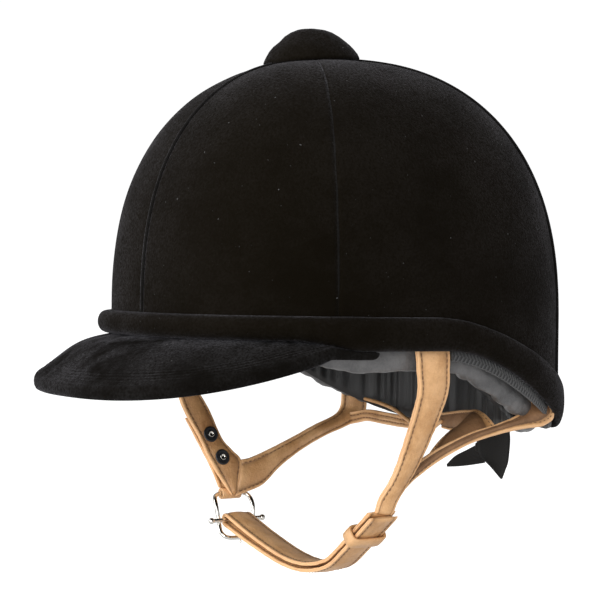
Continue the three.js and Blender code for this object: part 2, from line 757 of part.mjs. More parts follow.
// A leather loop round both layers, drawn flat and then turned along the strap.
function strapKeeper() {
  const halfWidth = CHIN_WIDTH / 2 + 0.8;
  const halfHeight = CHIN_NEAR_GAP + CHIN_LAYER / 2 + 1;
  const rectangle = (x, y, Kind) =>
    new Kind([
      new THREE.Vector2(-x, -y),
      new THREE.Vector2(x, -y),
      new THREE.Vector2(x, y),
      new THREE.Vector2(-x, y),
    ]);
  const outline = rectangle(halfWidth + KEEPER_WALL, halfHeight + KEEPER_WALL, THREE.Shape);
  outline.holes.push(rectangle(halfWidth, halfHeight, THREE.Path));
  const ring = new THREE.ExtrudeGeometry(outline, { depth: KEEPER_LENGTH, bevelEnabled: false });
  ring.translate(0, 0, -KEEPER_LENGTH / 2).rotateZ(Math.PI / 2);
  return closedBody(ring);
}

// ---- Buckle ----

function inChinPlane(spot, y = CHIN_Y) {
  return new THREE.Vector3(spot.x, y, spot.z);
}

// The wire frame: a torus stretched to a rounded rectangle, with the bar across it.
function buckleFrame() {
  const top = inChinPlane(BUCKLE_TOP);
  const foot = inChinPlane(BUCKLE_FOOT);
  const middle = top.clone().add(foot).multiplyScalar(0.5);
  const down = foot.clone().sub(top);
  const halfLength = down.length() / 2;
  down.normalize();
  const sideways = new THREE.Vector3(0, 1, 0);
  const face = down.clone().cross(sideways);
  const ringRadius = 10;
  const ring = new THREE.TorusGeometry(ringRadius, WIRE, 8, 28);
  const position = ring.attributes.position;
  for (let i = 0; i < position.count; i += 1) {
    const radius = Math.hypot(position.getX(i), position.getY(i));
    const turn = Math.atan2(position.getY(i), position.getX(i));
    const across = Math.abs(Math.cos(turn)) ** FRAME_SQUARENESS;
    const lengthwise = Math.abs(Math.sin(turn)) ** FRAME_SQUARENESS;
    const square = (across + lengthwise) ** (-1 / FRAME_SQUARENESS);
    const wire = radius - ringRadius;
    const p = middle.clone()
      .addScaledVector(sideways, (BUCKLE_WIDTH / 2 + wire) * square * Math.cos(turn))
      .addScaledVector(down, (halfLength + wire) * square * Math.sin(turn))
      .addScaledVector(face, position.getZ(i));
    position.setXYZ(i, p.x, p.y, p.z);
  }
  const reach = BUCKLE_WIDTH / 2 + BAR_OVERHANG;
  const barEnds = [-reach, reach].map((side) => inChinPlane(CHIN_BAR, CHIN_Y + side));
  const balls = barEnds.map((end) => new THREE.SphereGeometry(BAR_BALL, 8, 6).translate(...end));
  return join(ring, rod(barEnds[0], barEnds[1], WIRE, 10), ...sideLinks(), ...balls);
}

// Short struts that carry the bar from the frame's two sides.
function sideLinks() {
  const top = inChinPlane(BUCKLE_TOP);
  const foot = inChinPlane(BUCKLE_FOOT);
  const nearest = top.clone().lerp(foot, 0.62);
  return [-1, 1].map((side) => {
    const shift = new THREE.Vector3(0, side * (BUCKLE_WIDTH / 2), 0);
    return rod(nearest.clone().add(shift), inChinPlane(CHIN_BAR).add(shift), WIRE, 8);
  });
}

// The prong: an eye round the bar and a pin that rests on the frame's foot.
function buckleTongue() {
  const bar = inChinPlane(CHIN_BAR);
  const eye = new THREE.TorusGeometry(PRONG_EYE.ring, PRONG_EYE.wire, 6, 14).rotateX(Math.PI / 2);
  eye.translate(...bar);
  const down = inChinPlane(BUCKLE_FOOT).sub(bar).normalize();
  const lift = new THREE.Vector3(-2.6, 0, -0.6);
  const from = bar.clone().addScaledVector(down, 1.6).addScaledVector(lift, 0.55);
  const to = inChinPlane(BUCKLE_FOOT).addScaledVector(down, 2.5).add(lift);
  return join(eye, rod(from, to, PRONG_RADIUS, 8));
}

// The tab on the outside of the right front strap, with a loop round the buckle's top bar.
function studTab() {
  const away = STRAP_OUTWARD.clone().multiplyScalar(LEATHER / 2 + TAB_STANDOFF);
  const keys = [
    key(-88, -41.5, -53, [0, -1, 0], 15),
    key(-85, -35, -66, [0, -1, 0], 15),
    key(-80.5, -28.8, -80, [0, -1, 0], 15),
    key(-78.6, -25, -90, [0, -1, 0], 14),
    key(-77.8, -23, -95.5, [0, -1, 0], 14),
  ].map((item) => ({ ...item, at: item.at.clone().add(away) }));
  const top = inChinPlane(BUCKLE_TOP);
  const half = new THREE.Vector3(0, 6.5, 0);
  const along = (share) => top.clone().addScaledVector(half, share);
  const boreRadius = WIRE + TAB_TUBE_CLEARANCE;
  const tube = rod(along(-1), along(1), boreRadius + TAB_TUBE_WALL, 14);
  const bore = rod(along(-2), along(2), boreRadius, 14);
  return cut(join(strap(keys, TAB_LEATHER, 12), tube), bore);
}

// ---- Assembly ----

const helmet = new THREE.Group();
helmet.position.z = -CROWN_SEAT_Z;

function add(name, geometry, material) {
  const mesh = new THREE.Mesh(geometry, material);
  mesh.name = name;
  helmet.add(mesh);
  return mesh;
}

function addSkull() {
  add('outer_shell', outerShell(Object.values(ANCHORS)), hardShell);
  add('foam_liner', foamLiner(), foam);
  add('satin_lining', satinLining(), satin);
  add('headband', headband(), softBlack);
  add('rim_binding', rimBinding(), tape);
  add('crown_pad', crownPad(), softBlack);
  add('hat_band', hatBand(), velvet);
  ['front', 'side', 'rear'].forEach((place, index) => {
    const [from, to] = [SEAM_TURNS[index], SEAM_TURNS[index + 1]];
    add(`${place}_left_panel`, velvetPanel(from, to), velvet);
    add(`${place}_right_panel`, velvetPanel(-to, -from), velvet);
  });
  add('crown_button', crownButton(), velvet);
  add('button_rivet', buttonRivet(), nickel);
}

function addPeak() {
  const boardDepth = PEAK_COVER + PEAK_GAP;
  const underDepth = boardDepth + PEAK_BOARD + PEAK_GAP;
  add('peak_top_cover', peakLayer(0, PEAK_COVER), velvet);
  add('peak_board', peakLayer(boardDepth, PEAK_BOARD), hardShell);
  add('peak_under_cover', peakLayer(underDepth, PEAK_COVER), velvet);
}

function addHarness() {
  add('left_front_strap', leftFrontStrap(), leather);
  add('left_rear_arm', leftRearArm(), leather);
  add('left_nape_strap', leftNapeStrap(), leather);
  add('right_front_strap', rightFrontStrap(), leather);
  add('right_rear_arm', rightRearArm(), leather);
  add('right_nape_strap', rightNapeStrap(), leather);
  add('nape_lace', napeLace(), leather);
  add('lace_knot', laceKnot(), leather);
  add('left_front_rivet', strapRivet(ANCHORS.leftFront), nickel);
  add('left_rear_rivet', strapRivet(ANCHORS.leftRear), nickel);
  add('right_front_rivet', strapRivet(ANCHORS.rightFront), nickel);
  add('right_rear_rivet', strapRivet(ANCHORS.rightRear), nickel);
  add('upper_stud_socket', studSocket(STUDS[0]), gunmetal);
  add('lower_stud_socket', studSocket(STUDS[1]), gunmetal);
}

function addBow() {
  add('bow_knot', bowKnot(), satin);
  add('bow_left_tail', bowLeftTail(), satin);
  add('bow_right_tail', bowRightTail(), satin);
}

function addChinStrap() {
  add('chin_strap', chinStrap(), leather);
  const keeper = add('strap_keeper', strapKeeper(), leather);
  keeper.position.copy(inChinPlane(KEEPER_SPOT));
  const along = new THREE.Vector3(79 - 64, 0, -94.8 + 106.8).normalize();
  keeper.quaternion.setFromUnitVectors(new THREE.Vector3(0, 0, 1), along);
  add('buckle_frame', buckleFrame(), nickel);
  add('buckle_tongue', buckleTongue(), nickel);
  add('stud_tab', studTab(), leather);
  add('upper_stud_cap', studCap(STUDS[0]), gunmetal);
  add('lower_stud_cap', studCap(STUDS[1]), gunmetal);
}

addSkull();
addPeak();
addHarness();
addBow();
addChinStrap();

export default helmet;
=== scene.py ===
"""How the velvet riding helmet looks: soft velvet, padded leather, satin, wire and stitches.

Shapes are drawn in millimetres about the front edge of the skull, like the CAD part, and carried
to the row frame (metres, origin at the crown pad) when a mesh is made.
The wearer looks along -Y and the wearer's left side is +X.
"""

import math
import random

import bpy
import numpy as np
from mathutils import Matrix, Vector
from mathutils.kdtree import KDTree


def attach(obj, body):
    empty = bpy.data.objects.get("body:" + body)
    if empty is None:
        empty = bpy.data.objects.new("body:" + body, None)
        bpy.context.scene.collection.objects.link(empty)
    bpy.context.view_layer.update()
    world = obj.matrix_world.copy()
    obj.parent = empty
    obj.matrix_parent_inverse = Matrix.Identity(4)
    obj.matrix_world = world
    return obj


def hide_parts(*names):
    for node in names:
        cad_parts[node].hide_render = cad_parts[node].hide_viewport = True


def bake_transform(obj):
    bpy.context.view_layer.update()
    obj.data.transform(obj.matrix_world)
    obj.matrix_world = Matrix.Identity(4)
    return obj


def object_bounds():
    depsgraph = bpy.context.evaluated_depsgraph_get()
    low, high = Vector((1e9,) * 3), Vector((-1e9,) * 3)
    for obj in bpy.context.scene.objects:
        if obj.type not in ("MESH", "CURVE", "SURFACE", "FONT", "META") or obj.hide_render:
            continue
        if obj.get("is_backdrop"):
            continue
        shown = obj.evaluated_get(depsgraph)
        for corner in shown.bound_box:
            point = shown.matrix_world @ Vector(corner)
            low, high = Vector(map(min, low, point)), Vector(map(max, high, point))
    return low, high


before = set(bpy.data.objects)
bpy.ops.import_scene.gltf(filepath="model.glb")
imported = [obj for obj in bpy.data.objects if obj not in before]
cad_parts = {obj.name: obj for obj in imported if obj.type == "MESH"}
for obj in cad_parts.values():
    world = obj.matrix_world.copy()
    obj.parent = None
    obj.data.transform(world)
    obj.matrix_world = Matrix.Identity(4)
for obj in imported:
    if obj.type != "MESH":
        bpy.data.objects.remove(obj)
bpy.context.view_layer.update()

MM = 0.001
CROWN_SEAT_Z = 130
WOBBLE_WAVES = 7
BALL_RINGS = 9
BALL_SIDES = 14

# ---- Skull ----
HALF_LENGTH = 126.6
HALF_WIDTH = 107.6
OVAL_POWER = 2.5
EQUATOR_Z = 14
DOME_HEIGHT = 144.2
DOME_POWER = 2.38
DOME_LEAN = 2.7
POLE_SHIFT = 18.3
EAR_DROP = 5
EAR_TURNS = (50, 66)  # degrees from the front over which the rim drops
NAPE_DROP = 48
NAPE_TURNS = (88, 152)
BAND_HEIGHT = 12
BAND_TOP_DROP = 40
BAND_TOP_TURNS = (85, 152)
BAND_BULGE = 7
BAND_NAPE_BULGE = 3.6
BAND_SLIM_TURNS = (85, 150)
BAND_SQUARENESS = (0.62, 0.8)  # at the front and at the nape; smaller is fuller
BAND_ROLLED_TURNS = (95, 150)
SEAM_TURNS = (0, 60, 135, 180)
SKIN = 1.6  # the velvet's face lies this far outside the shell
VELVET_BACK = 0.45  # and its back this far
PANEL_PUFF = 0.5
PIPING_RADIUS = 1.15
PIPING_PROUD = 0.15
SEAM_SUNK = 1.25  # the side seams lie flatter than the others
PANEL_TOP_LATITUDE = 87

# ---- Peak ----
PEAK_REACH = 42
PEAK_SLOPE = 30
PEAK_END = 67.6
PEAK_PLAN_POWERS = (3.1, 1.9)  # how square the peak is seen from above, and how it draws in at its ends
PEAK_ROOT_REACH = 4  # how far its root lies outside the skull
PEAK_LEAST_REACH = 1.6
PEAK_END_RISE = 1.6
PEAK_COVER_REACH = 1.03  # the velvet goes a little past the board at each end
PEAK_CAMBER = 4.6
PEAK_ROOT_OFFSET = 1.2
PEAK_ROOT_DROP = 0.4
PEAK_DEPTH = 6.8
PEAK_EDGE_DEPTH = 7.6
PEAK_END_DEPTH = 4.2
PEAK_ROW_PITCH = 1.75  # between the rows of stitching along the edge
PEAK_ROW_HEIGHT = 0.26

# ---- Crown button ----
BUTTON_RADIUS = 27
BUTTON_TOP_Z = 177.4
BUTTON_BASE_GAP = 1.5
# Share of the radius and share of the height, from the middle of the base to the top.
BUTTON_PROFILE = (
    (0.02, 0.0), (0.5, 0.0), (0.9, 0.0), (0.98, 0.01), (1.025, 0.05), (1.035, 0.1), (1.02, 0.15),
    (0.98, 0.24), (0.9, 0.37), (0.82, 0.48), (0.72, 0.6), (0.6, 0.74), (0.46, 0.86), (0.32, 0.94),
    (0.18, 0.985), (0.05, 1.0),
)

# ---- Inside the rim ----
ROLL_OUTER = -7.6
ROLL_INNER = -18.4
NAPE_TUCK = 0.7  # share by which headband, lining and tape are tucked up at the nape
TUCK_TURNS = (112, 145)
ROLL_ABOVE_RIM = 8
ROLL_BELOW_RIM = 12
ROLL_FOLDS = (42, 97, 112, 119, 125.5, 131, 138, 149, 166)  # degrees from the front
ROLL_FOLD_DEPTH = 2.2
ROLL_FOLD_WIDTH = 1.5
ROLL_PUCKER = 0.9
LINING_OFFSET = -19.4
LINING_BELOW_RIM = 9.5
LINING_THICKNESS = 0.7
TAPE_ABOVE_RIM = 3
TAPE_BELOW_RIM = 5.2
TAPE_RUN = (91, 296)  # degrees, from the left front strap round the nape to the right end of the peak
# Offset from the wall and share of the tape's height, round its section.
TAPE_PROFILE = (
    (-1.0, 0.0), (-0.9, 0.45), (-0.9, 1.0), (-2.6, 1.0), (-2.6, 0.45), (-2.5, 0.0), (-1.8, -0.06),
)
# Distance along the axis and radius.
PAD_PROFILE = (
    (0, 0.5), (0, 29.5), (0.5, 30.6), (1.2, 31), (2, 30.6), (2.8, 28.5), (3.6, 26), (4.5, 22), (5.4, 17),
    (6, 11), (6.4, 5), (6.5, 0.5),
)

# ---- Padding ----
CLOTH_VOXEL = 4.5
CLOTH_FRAMES = 20
CLOTH_SETTINGS = {
    "quality": 5,
    "mass": 0.15,
    "use_pressure": True,
    "uniform_pressure_force": 4,
    "shrink_min": -0.05,  # negative lets the cover grow, so it creases
}
SWELL_LIMIT = 1.2
BUTTON_SWELL_LIMIT = 0.5
CARRY_NEIGHBOURS = 4

# ---- Harness ----
STRAP_OFFSET = -7.1
STRAP_STEP = 1.4
NARROW_STRAP = 7
HARNESS_SEED = 40
CHIN_SEED = 71
TAB_SEED = 81
STITCH_PITCH = 3.1
STITCH_LENGTH = 2.1
STITCH_RADIUS = 0.33
STITCH_INSET = 2.3
STITCH_LIFT = (-0.25, 0.12, 0.2, 0.12, -0.25)  # over the leather, from end to end
STITCH_JITTER = 0.12
EDGE_KEEP = 3.2  # this much of each edge keeps its width where the strap narrows or widens
EDGE_HIGHLIGHT = 1.4  # the turned edges get a painted highlight over this width
# Distance from the edge and height of a padded strap's face, for a strap FULL_STRAP thick.
FULL_STRAP = 3
SOFT_HALF = (
    (0.45, 0.02), (0.1, 0.3), (0.0, 0.75), (0.3, 1.2), (0.9, 1.42), (1.6, 1.3), (STITCH_INSET, 1.0),
    (3.0, 1.3), (4.2, 1.65), (6.0, 1.9),
)
# The strap that rides on no body.
BENT_STRAP = "left_front_strap"
KNOT = (3.5, 62, -61)
BOW = (4, 107, -70)
RIBBON_STEP = 1.2
RIBBON_THICKNESS = 0.5
RIBBON_CURL = 0.225

# ---- Chin strap, studs and buckle ----
CHIN_Y = -22
CHIN_WIDTH = 18
CHIN_BAR = (-72, -115)
CHIN_THICKNESS = 2.15
CHIN_LOOP_RADIUS = 3.05
CHIN_NEAR_GAP = 1.7
# Middle line of the doubled strap, x and z.
CHIN_LINE = (
    CHIN_BAR, (-42, -123.2), (-10, -130), (14, -131), (36, -126), (50, -117), (64, -106), (79, -94.4),
)
KEEPER_SPOT = (62, CHIN_Y, -107.6)
KEEPER_HALF_LENGTH = 4
KEEPER_ROOM = 2.9
KEEPER_SIDE_ROOM = 1.7
# Share of the half-length and height over the strap, round the keeper's section.
KEEPER_PROFILE = (
    (-1, -0.6), (-1.02, 0.3), (-0.9, 0.8), (0, 0.95), (0.9, 0.8), (1.02, 0.3), (1, -0.6), (0, -0.75),
)
STUDS = np.array([(-85.3, -35.5, -64.5), (-81, -29.4, -78.3)])
STUD_INSIDE = -2.4  # the strap's inner face, along its outward direction
STUD_OUTSIDE = 1.6
# Distance along the axis and radius.
STUD_DISC_PROFILE = ((0, 0.4), (0, 4.7), (0.5, 4.9), (1, 4.6), (1.1, 4), (0.85, 3.4), (0.8, 2.6), (0.8, 0.4))
STUD_POST_PROFILE = ((0.6, 1.5), (1.3, 1.75), (1.55, 1.9), (1.6, 1.5), (1.3, 1.15), (1, 0.9), (1, 0.3))
STUD_CAP_PROFILE = ((3.2, 0.4), (3.2, 4.8), (3.6, 5), (4.1, 4.7), (4.5, 3.4), (4.7, 1.6), (4.75, 0.3))
SIDEWAYS = np.array([0, 1.0, 0])
BUCKLE_TOP = np.array([-81, CHIN_Y, -100.0])
BUCKLE_FOOT = np.array([-66.4, CHIN_Y, -125.2])
BUCKLE_BAR = np.array([CHIN_BAR[0], CHIN_Y, CHIN_BAR[1]], float)
BUCKLE_WIRE = 1.3
BUCKLE_HALF_WIDTH = 13
BUCKLE_WAIST = 0.62  # share of the way from top to foot
BAR_HALF_LENGTH = 18
BAR_BALL = 1.95
PRONG_RADIUS = 0.8
PRONG_LIFT = np.array([-2.6, 0, -0.6])
PRONG_EYE = 2.25
PRONG_EYE_WIRE = 0.6
TAB_THICKNESS = 2.0
TAB_GAP = 3.4
# Middle line of the tab before it is moved out by the gap, and its width.
TAB_LINE = (
    ((-88, -41.5, -53), 15), ((-85, -35, -66), 15), ((-80.5, -28.8, -80), 15), ((-78.6, -25, -90), 14),
    ((-77.8, -23, -95.5), 14),
)
# Radius and half-width, round the section of the tab's loop.
TAB_LOOP_PROFILE = ((1.8, 6.5), (3.3, 6.6), (3.5, 6.3), (3.5, -6.3), (3.3, -6.6), (1.8, -6.5))

# ---- Stage ----
VIEW_AZIMUTH = 55.44
VIEW_ELEVATION = -2.37
VIEW_ROLL = 0.92
VIEW_DISTANCE = 1.0
VIEW_TARGET = (0, 0, -0.06)
FOCAL_LENGTH = 102.06
SENSOR_WIDTH = 36
SHIFT = (-0.0642, -0.1417)
CLIP_RANGE = (0.05, 100)
LIT_POINT = (0, 0, -0.08)
# Place, size and power.
LIGHTS = {
    "key": ((-0.5, -1.7, 0.45), (1.0, 1.2), 20),
    "side": ((1.6, 1.2, 0.6), (1.0, 1.4), 4),
    "top": ((0, 0, 1.9), (1.6, 1.6), 10),
    "fill": ((1.1, -1.4, 0.15), (1.0, 0.9), 17),
}
WORLD_SEEN = 1.05
WORLD_LIGHT = 0.75
WORLD_REFLECTED = 0.35  # share of the white surroundings that shows in metal and sheen
FLOOR_SEEN = (0.9, 0.9, 0.9)
FLOOR_BOUNCE = (0.62, 0.62, 0.62)  # darker to the light it sends up, so undersides stay in shade
FLOOR_GLOW = 0.5
FLOOR_DROP = 0.19  # room for the opened chin strap to hang
FLOOR_REACH = 40


# ---------- shapes ----------


def smooth(value, start, end):
    share = np.clip((np.asarray(value, float) - start) / (end - start), 0, 1)
    return share * share * (3 - 2 * share)


def mix(start, end, share):
    return start + (end - start) * share


def unit(vectors):
    vectors = np.asarray(vectors, float)
    return vectors / np.maximum(np.linalg.norm(vectors, axis=-1, keepdims=True), 1e-9)


def xyz(x, y, z):
    return np.stack(np.broadcast_arrays(x, y, z), axis=-1)


def circle(count):
    """Even angles round a circle."""
    return np.linspace(0, 2 * math.pi, count, endpoint=False)


def rounded_square(angle):
    """Radius of a square with round corners, 1 at the middle of a side."""
    return (np.abs(np.cos(angle)) ** 5 + np.abs(np.sin(angle)) ** 5) ** -0.2


def oval_size(x, y):
    """1 on the skull's upright wall, less inside it."""
    across = (np.abs(x) / HALF_WIDTH) ** OVAL_POWER
    along = (np.abs(y) / HALF_LENGTH) ** OVAL_POWER
    return (across + along) ** (1 / OVAL_POWER)


def oval_radius(turn):
    across = np.abs(np.sin(turn)) ** OVAL_POWER
    along = np.abs(np.cos(turn)) ** OVAL_POWER
    return (across + along) ** (-1 / OVAL_POWER)


def wall_point(degrees, offset, z):
    turn = np.radians(degrees)
    size = oval_radius(turn) * (1 + offset / HALF_WIDTH)
    return xyz(HALF_WIDTH * size * np.sin(turn), -HALF_LENGTH * size * np.cos(turn), z)


def outside_wall(points):
    """How far points lie outside the skull's upright wall."""
    return (oval_size(points[:, 0], points[:, 1]) - 1) * HALF_WIDTH


def outward_at(degrees):
    turn = np.radians(degrees)
    return unit(xyz(np.sin(turn) / HALF_WIDTH, -np.cos(turn) / HALF_LENGTH, 0))


def along_wall(degrees):
    out = outward_at(degrees)
    return xyz(-out[..., 1], out[..., 0], 0)


def dome_height(x, y, offset):
    grow = 1 + offset / HALF_WIDTH
    reach = np.minimum(1, oval_size(x / grow, y / grow))
    return (DOME_HEIGHT + offset) * (1 - reach**DOME_POWER) ** (1 / DOME_POWER)


def dome_point(degrees, latitude, offset):
    turn = np.radians(degrees)
    ring = np.maximum(0, np.cos(np.radians(latitude))) ** (2 / DOME_POWER)
    grow = 1 + offset / HALF_WIDTH
    size = ring * oval_radius(turn)
    x = HALF_WIDTH * size * np.sin(turn) * grow
    y = (-HALF_LENGTH * size * np.cos(turn) - POLE_SHIFT * (1 - ring)) * grow
    height = dome_height(x, y, offset)
    return xyz(x, y - DOME_LEAN * height / DOME_HEIGHT, EQUATOR_Z + height)


def side_turn(degrees):
    return np.abs(np.mod(degrees + 180.0, 360) - 180)


def rim_height(degrees):
    side = side_turn(degrees)
    return -EAR_DROP * smooth(side, *EAR_TURNS) - NAPE_DROP * smooth(side, *NAPE_TURNS)


def band_top(degrees):
    return BAND_HEIGHT - BAND_TOP_DROP * smooth(side_turn(degrees), *BAND_TOP_TURNS)


def tucked(turns, below):
    """How far a part reaches below the rim: less at the nape, where it is tucked up."""
    return below * (1 - NAPE_TUCK * smooth(side_turn(turns), *TUCK_TURNS))


def wobble(points, scale, seed):
    """Smooth pseudo-random value, about -1 to 1, at each point; scale is the size of a bump in mm."""
    source = np.random.default_rng(seed)
    total = np.zeros(points.shape[:-1])
    for _ in range(WOBBLE_WAVES):
        direction = unit(source.normal(size=3))
        pitch = scale * source.uniform(0.7, 1.6)
        total += np.cos(points @ direction * 2 * math.pi / pitch + source.uniform(0, 6.28))
    return total / math.sqrt(WOBBLE_WAVES / 2) / 2


def curve(keys, params):
    """Catmull-Rom curve through the keys, at params from 0 to the number of keys less one."""
    keys = np.asarray(keys, float)
    index = np.clip(np.floor(params).astype(int), 0, len(keys) - 2)
    t = (params - index)[:, None]
    padded = np.vstack([2 * keys[0] - keys[1], keys, 2 * keys[-1] - keys[-2]])
    a, b, c, d = (padded[index + step] for step in range(4))
    return 0.5 * (2 * b + (c - a) * t + (2 * a - 5 * b + 4 * c - d) * t**2 + (3 * b - a - 3 * c + d) * t**3)


def lengths_along(line):
    return np.concatenate([[0], np.cumsum(np.linalg.norm(np.diff(line, axis=0), axis=1))])


def even_params(keys, step):
    """Params of curve() that are about step mm apart."""
    fine = np.linspace(0, len(keys) - 1, 40 * len(keys))
    length = lengths_along(curve(keys, fine))
    count = max(4, int(round(length[-1] / step)) + 1)
    return np.interp(np.linspace(0, length[-1], count), length, fine)


def even_curve(keys, step):
    return curve(keys, even_params(keys, step))


# ---------- meshes ----------


def show(name, data):
    obj = bpy.data.objects.new(name, data)
    bpy.context.scene.collection.objects.link(obj)
    return obj


class Build:
    """Collects vertices, faces, UVs in metres and a stitch-row and painted-highlight value, then makes one
    mesh object.
    """

    def __init__(self):
        self.points = []
        self.faces = []
        self.slots = []
        self.uv = []
        self.groove_and_highlight = []
        self.count = 0

    def add(self, points, faces, uv=None, groove_and_highlight=None, slots=None):
        points = np.asarray(points, float).reshape(-1, 3)
        self.points.append(points)
        self.faces.extend(tuple(self.count + i for i in face) for face in faces)
        self.slots.extend([0] * len(faces) if slots is None else slots)
        self.uv.append(np.zeros((len(points), 2)) if uv is None else uv.reshape(-1, 2))
        self.groove_and_highlight.append(np.zeros(len(points)) if groove_and_highlight is None else np.ravel(groove_and_highlight))
        self.count += len(points)

    def make(self, name, *materials):
        points = (np.vstack(self.points) - [0, 0, CROWN_SEAT_Z]) * MM
        mesh = bpy.data.meshes.new(name)
        mesh.from_pydata(points.tolist(), [], self.faces)
        mesh.polygons.foreach_set("material_index", self.slots)
        mesh.update()
        corners = np.zeros(len(mesh.loops), np.int32)
        mesh.loops.foreach_get("vertex_index", corners)
        uv = np.vstack(self.uv)[corners] * MM
        mesh.uv_layers.new(name="UVMap").data.foreach_set("uv", uv.astype(np.float32).ravel())
        groove_and_highlight = np.concatenate(self.groove_and_highlight).astype(np.float32)
        mesh.attributes.new("groove_and_highlight", "FLOAT", "POINT").data.foreach_set("value", groove_and_highlight)
        mesh.polygons.foreach_set("use_smooth", [True] * len(mesh.polygons))
        for material in materials:
            mesh.materials.append(material)
        return show(name, mesh)


def grid_faces(rows, columns, wrap_rows=False, wrap_columns=False, flip=False):
    faces = []
    for i in range(rows if wrap_rows else rows - 1):
        for j in range(columns if wrap_columns else columns - 1):
            a = i * columns + j
            b = i * columns + (j + 1) % columns
            c = ((i + 1) % rows) * columns + (j + 1) % columns
            d = ((i + 1) % rows) * columns + j
            faces.append((d, c, b, a) if flip else (a, b, c, d))
    return faces


def ring_solid(build, sections, closed=False, groove_and_highlight=None, second=()):
    """Sections (n, m, 3): loops of m points, joined one after the other, capped unless closed."""
    sections = np.asarray(sections)
    n, m = sections.shape[:2]
    faces = grid_faces(n, m, wrap_rows=closed, wrap_columns=True)
    slots = [int(index % m in second) for index in range(len(faces))]
    if not closed:
        slots += [0, 0]
        faces.append(tuple(reversed(range(m))))
        faces.append(tuple((n - 1) * m + i for i in range(m)))
    down = lengths_along(sections.mean(axis=1))
    over = lengths_along(np.vstack([sections[n // 2], sections[n // 2][:1]]))[:-1]
    u, v = np.meshgrid(over, down)
    build.add(sections, faces, np.stack([v, u], axis=-1), groove_and_highlight, slots)


def long_solid(build, sections, closed=False):
    """Like ring_solid, from the lines that run along the piece."""
    ring_solid(build, np.transpose(sections, (1, 0, 2)), closed)


def skinned(build, outer, inner, faces, border, uv):
    """Outer face and inner face of a thin sheet, joined along its border."""
    count = len(uv)
    faces = faces + [tuple(count + i for i in reversed(face)) for face in faces]
    for here, there in zip(border, border[1:] + border[:1]):
        faces.append((here, count + here, count + there, there))
    both = np.concatenate([outer.reshape(-1, 3), inner.reshape(-1, 3)])
    build.add(both, faces, np.concatenate([uv, uv]))


def slab(build, outer, inner):
    """Two grids of the same shape, outer face and inner face, closed round their border."""
    rows, columns = outer.shape[:2]
    border = list(range(columns))
    border += [i * columns + columns - 1 for i in range(1, rows)]
    border += [(rows - 1) * columns + j for j in range(columns - 2, -1, -1)]
    border += [i * columns for i in range(rows - 2, 0, -1)]
    u, v = np.meshgrid(lengths_along(outer[rows // 2]), lengths_along(outer[:, columns // 2]))
    uv = np.stack([u, v], axis=-1).reshape(-1, 2)
    skinned(build, outer, inner, grid_faces(rows, columns), border, uv)


def frames_along(line, across=None):
    """Tangent and two normals along a line; the first normal is as near to across as it can be."""
    tangent = unit(np.gradient(line, axis=0))
    if across is None:
        side = [unit(np.cross(tangent[0], [0.3, 0.5, 0.81]))]
        for step in tangent[1:]:
            side.append(unit(side[-1] - step * (side[-1] @ step)))
        side = np.array(side)
    else:
        across = np.broadcast_to(np.asarray(across, float), line.shape)
        side = unit(across - tangent * np.sum(across * tangent, axis=1, keepdims=True))
    return tangent, side, np.cross(tangent, side)


def tube(build, line, radius, sides=10, closed=False, across=None):
    """A round tube along a line of points. Radius may change along the line."""
    line = np.asarray(line, float)
    tangent, side, up = frames_along(line, across)
    if closed:
        tangent = unit(np.roll(line, -1, axis=0) - np.roll(line, 1, axis=0))
        side = unit(side - tangent * np.sum(side * tangent, axis=1, keepdims=True))
        up = np.cross(tangent, side)
    radius = np.broadcast_to(np.asarray(radius, float), (len(line),))
    angle = circle(sides)[None, :, None]
    ring = side[:, None] * np.cos(angle) + up[:, None] * np.sin(angle)
    ring_solid(build, line[:, None] + ring * radius[:, None, None], closed)


def rounded_tube(build, line, radius, sides=10):
    """A tube whose two ends are rounded off."""
    line = np.asarray(line, float)
    start = unit(line[0] - line[1])
    end = unit(line[-1] - line[-2])
    bends = np.radians([80, 55, 28])
    head = [line[0] + start * radius * math.sin(bend) for bend in bends]
    tail = [line[-1] + end * radius * math.sin(bend) for bend in bends[::-1]]
    sizes = radius * np.cos(bends)
    radii = np.concatenate([sizes, np.full(len(line), radius), sizes[::-1]])
    tube(build, np.vstack([head, line, tail]), radii, sides)


def ball(build, centre, radii):
    polar = np.linspace(0.12, math.pi - 0.12, BALL_RINGS)[:, None]
    angle = circle(BALL_SIDES)
    points = xyz(np.sin(polar) * np.cos(angle), np.sin(polar) * np.sin(angle), np.cos(polar))
    faces = grid_faces(BALL_RINGS, BALL_SIDES, wrap_columns=True, flip=True)
    faces.append(tuple(range(BALL_SIDES)))
    faces.append(tuple(reversed(range((BALL_RINGS - 1) * BALL_SIDES, BALL_RINGS * BALL_SIDES))))
    build.add(points * radii + centre, faces)


def turned(build, centre, axis, profile, sides=40):
    """A solid of revolution: profile is a list of (distance along axis, radius), closed at both ends."""
    axis = unit(axis)
    first = unit(np.cross(axis, [0.31, 0.2, 0.93]))
    second = np.cross(axis, first)
    angle = circle(sides)[:, None]
    spokes = first * np.cos(angle) + second * np.sin(angle)
    ring_solid(build, [centre + axis * along + spokes * radius for along, radius in profile])


# ---------- materials ----------


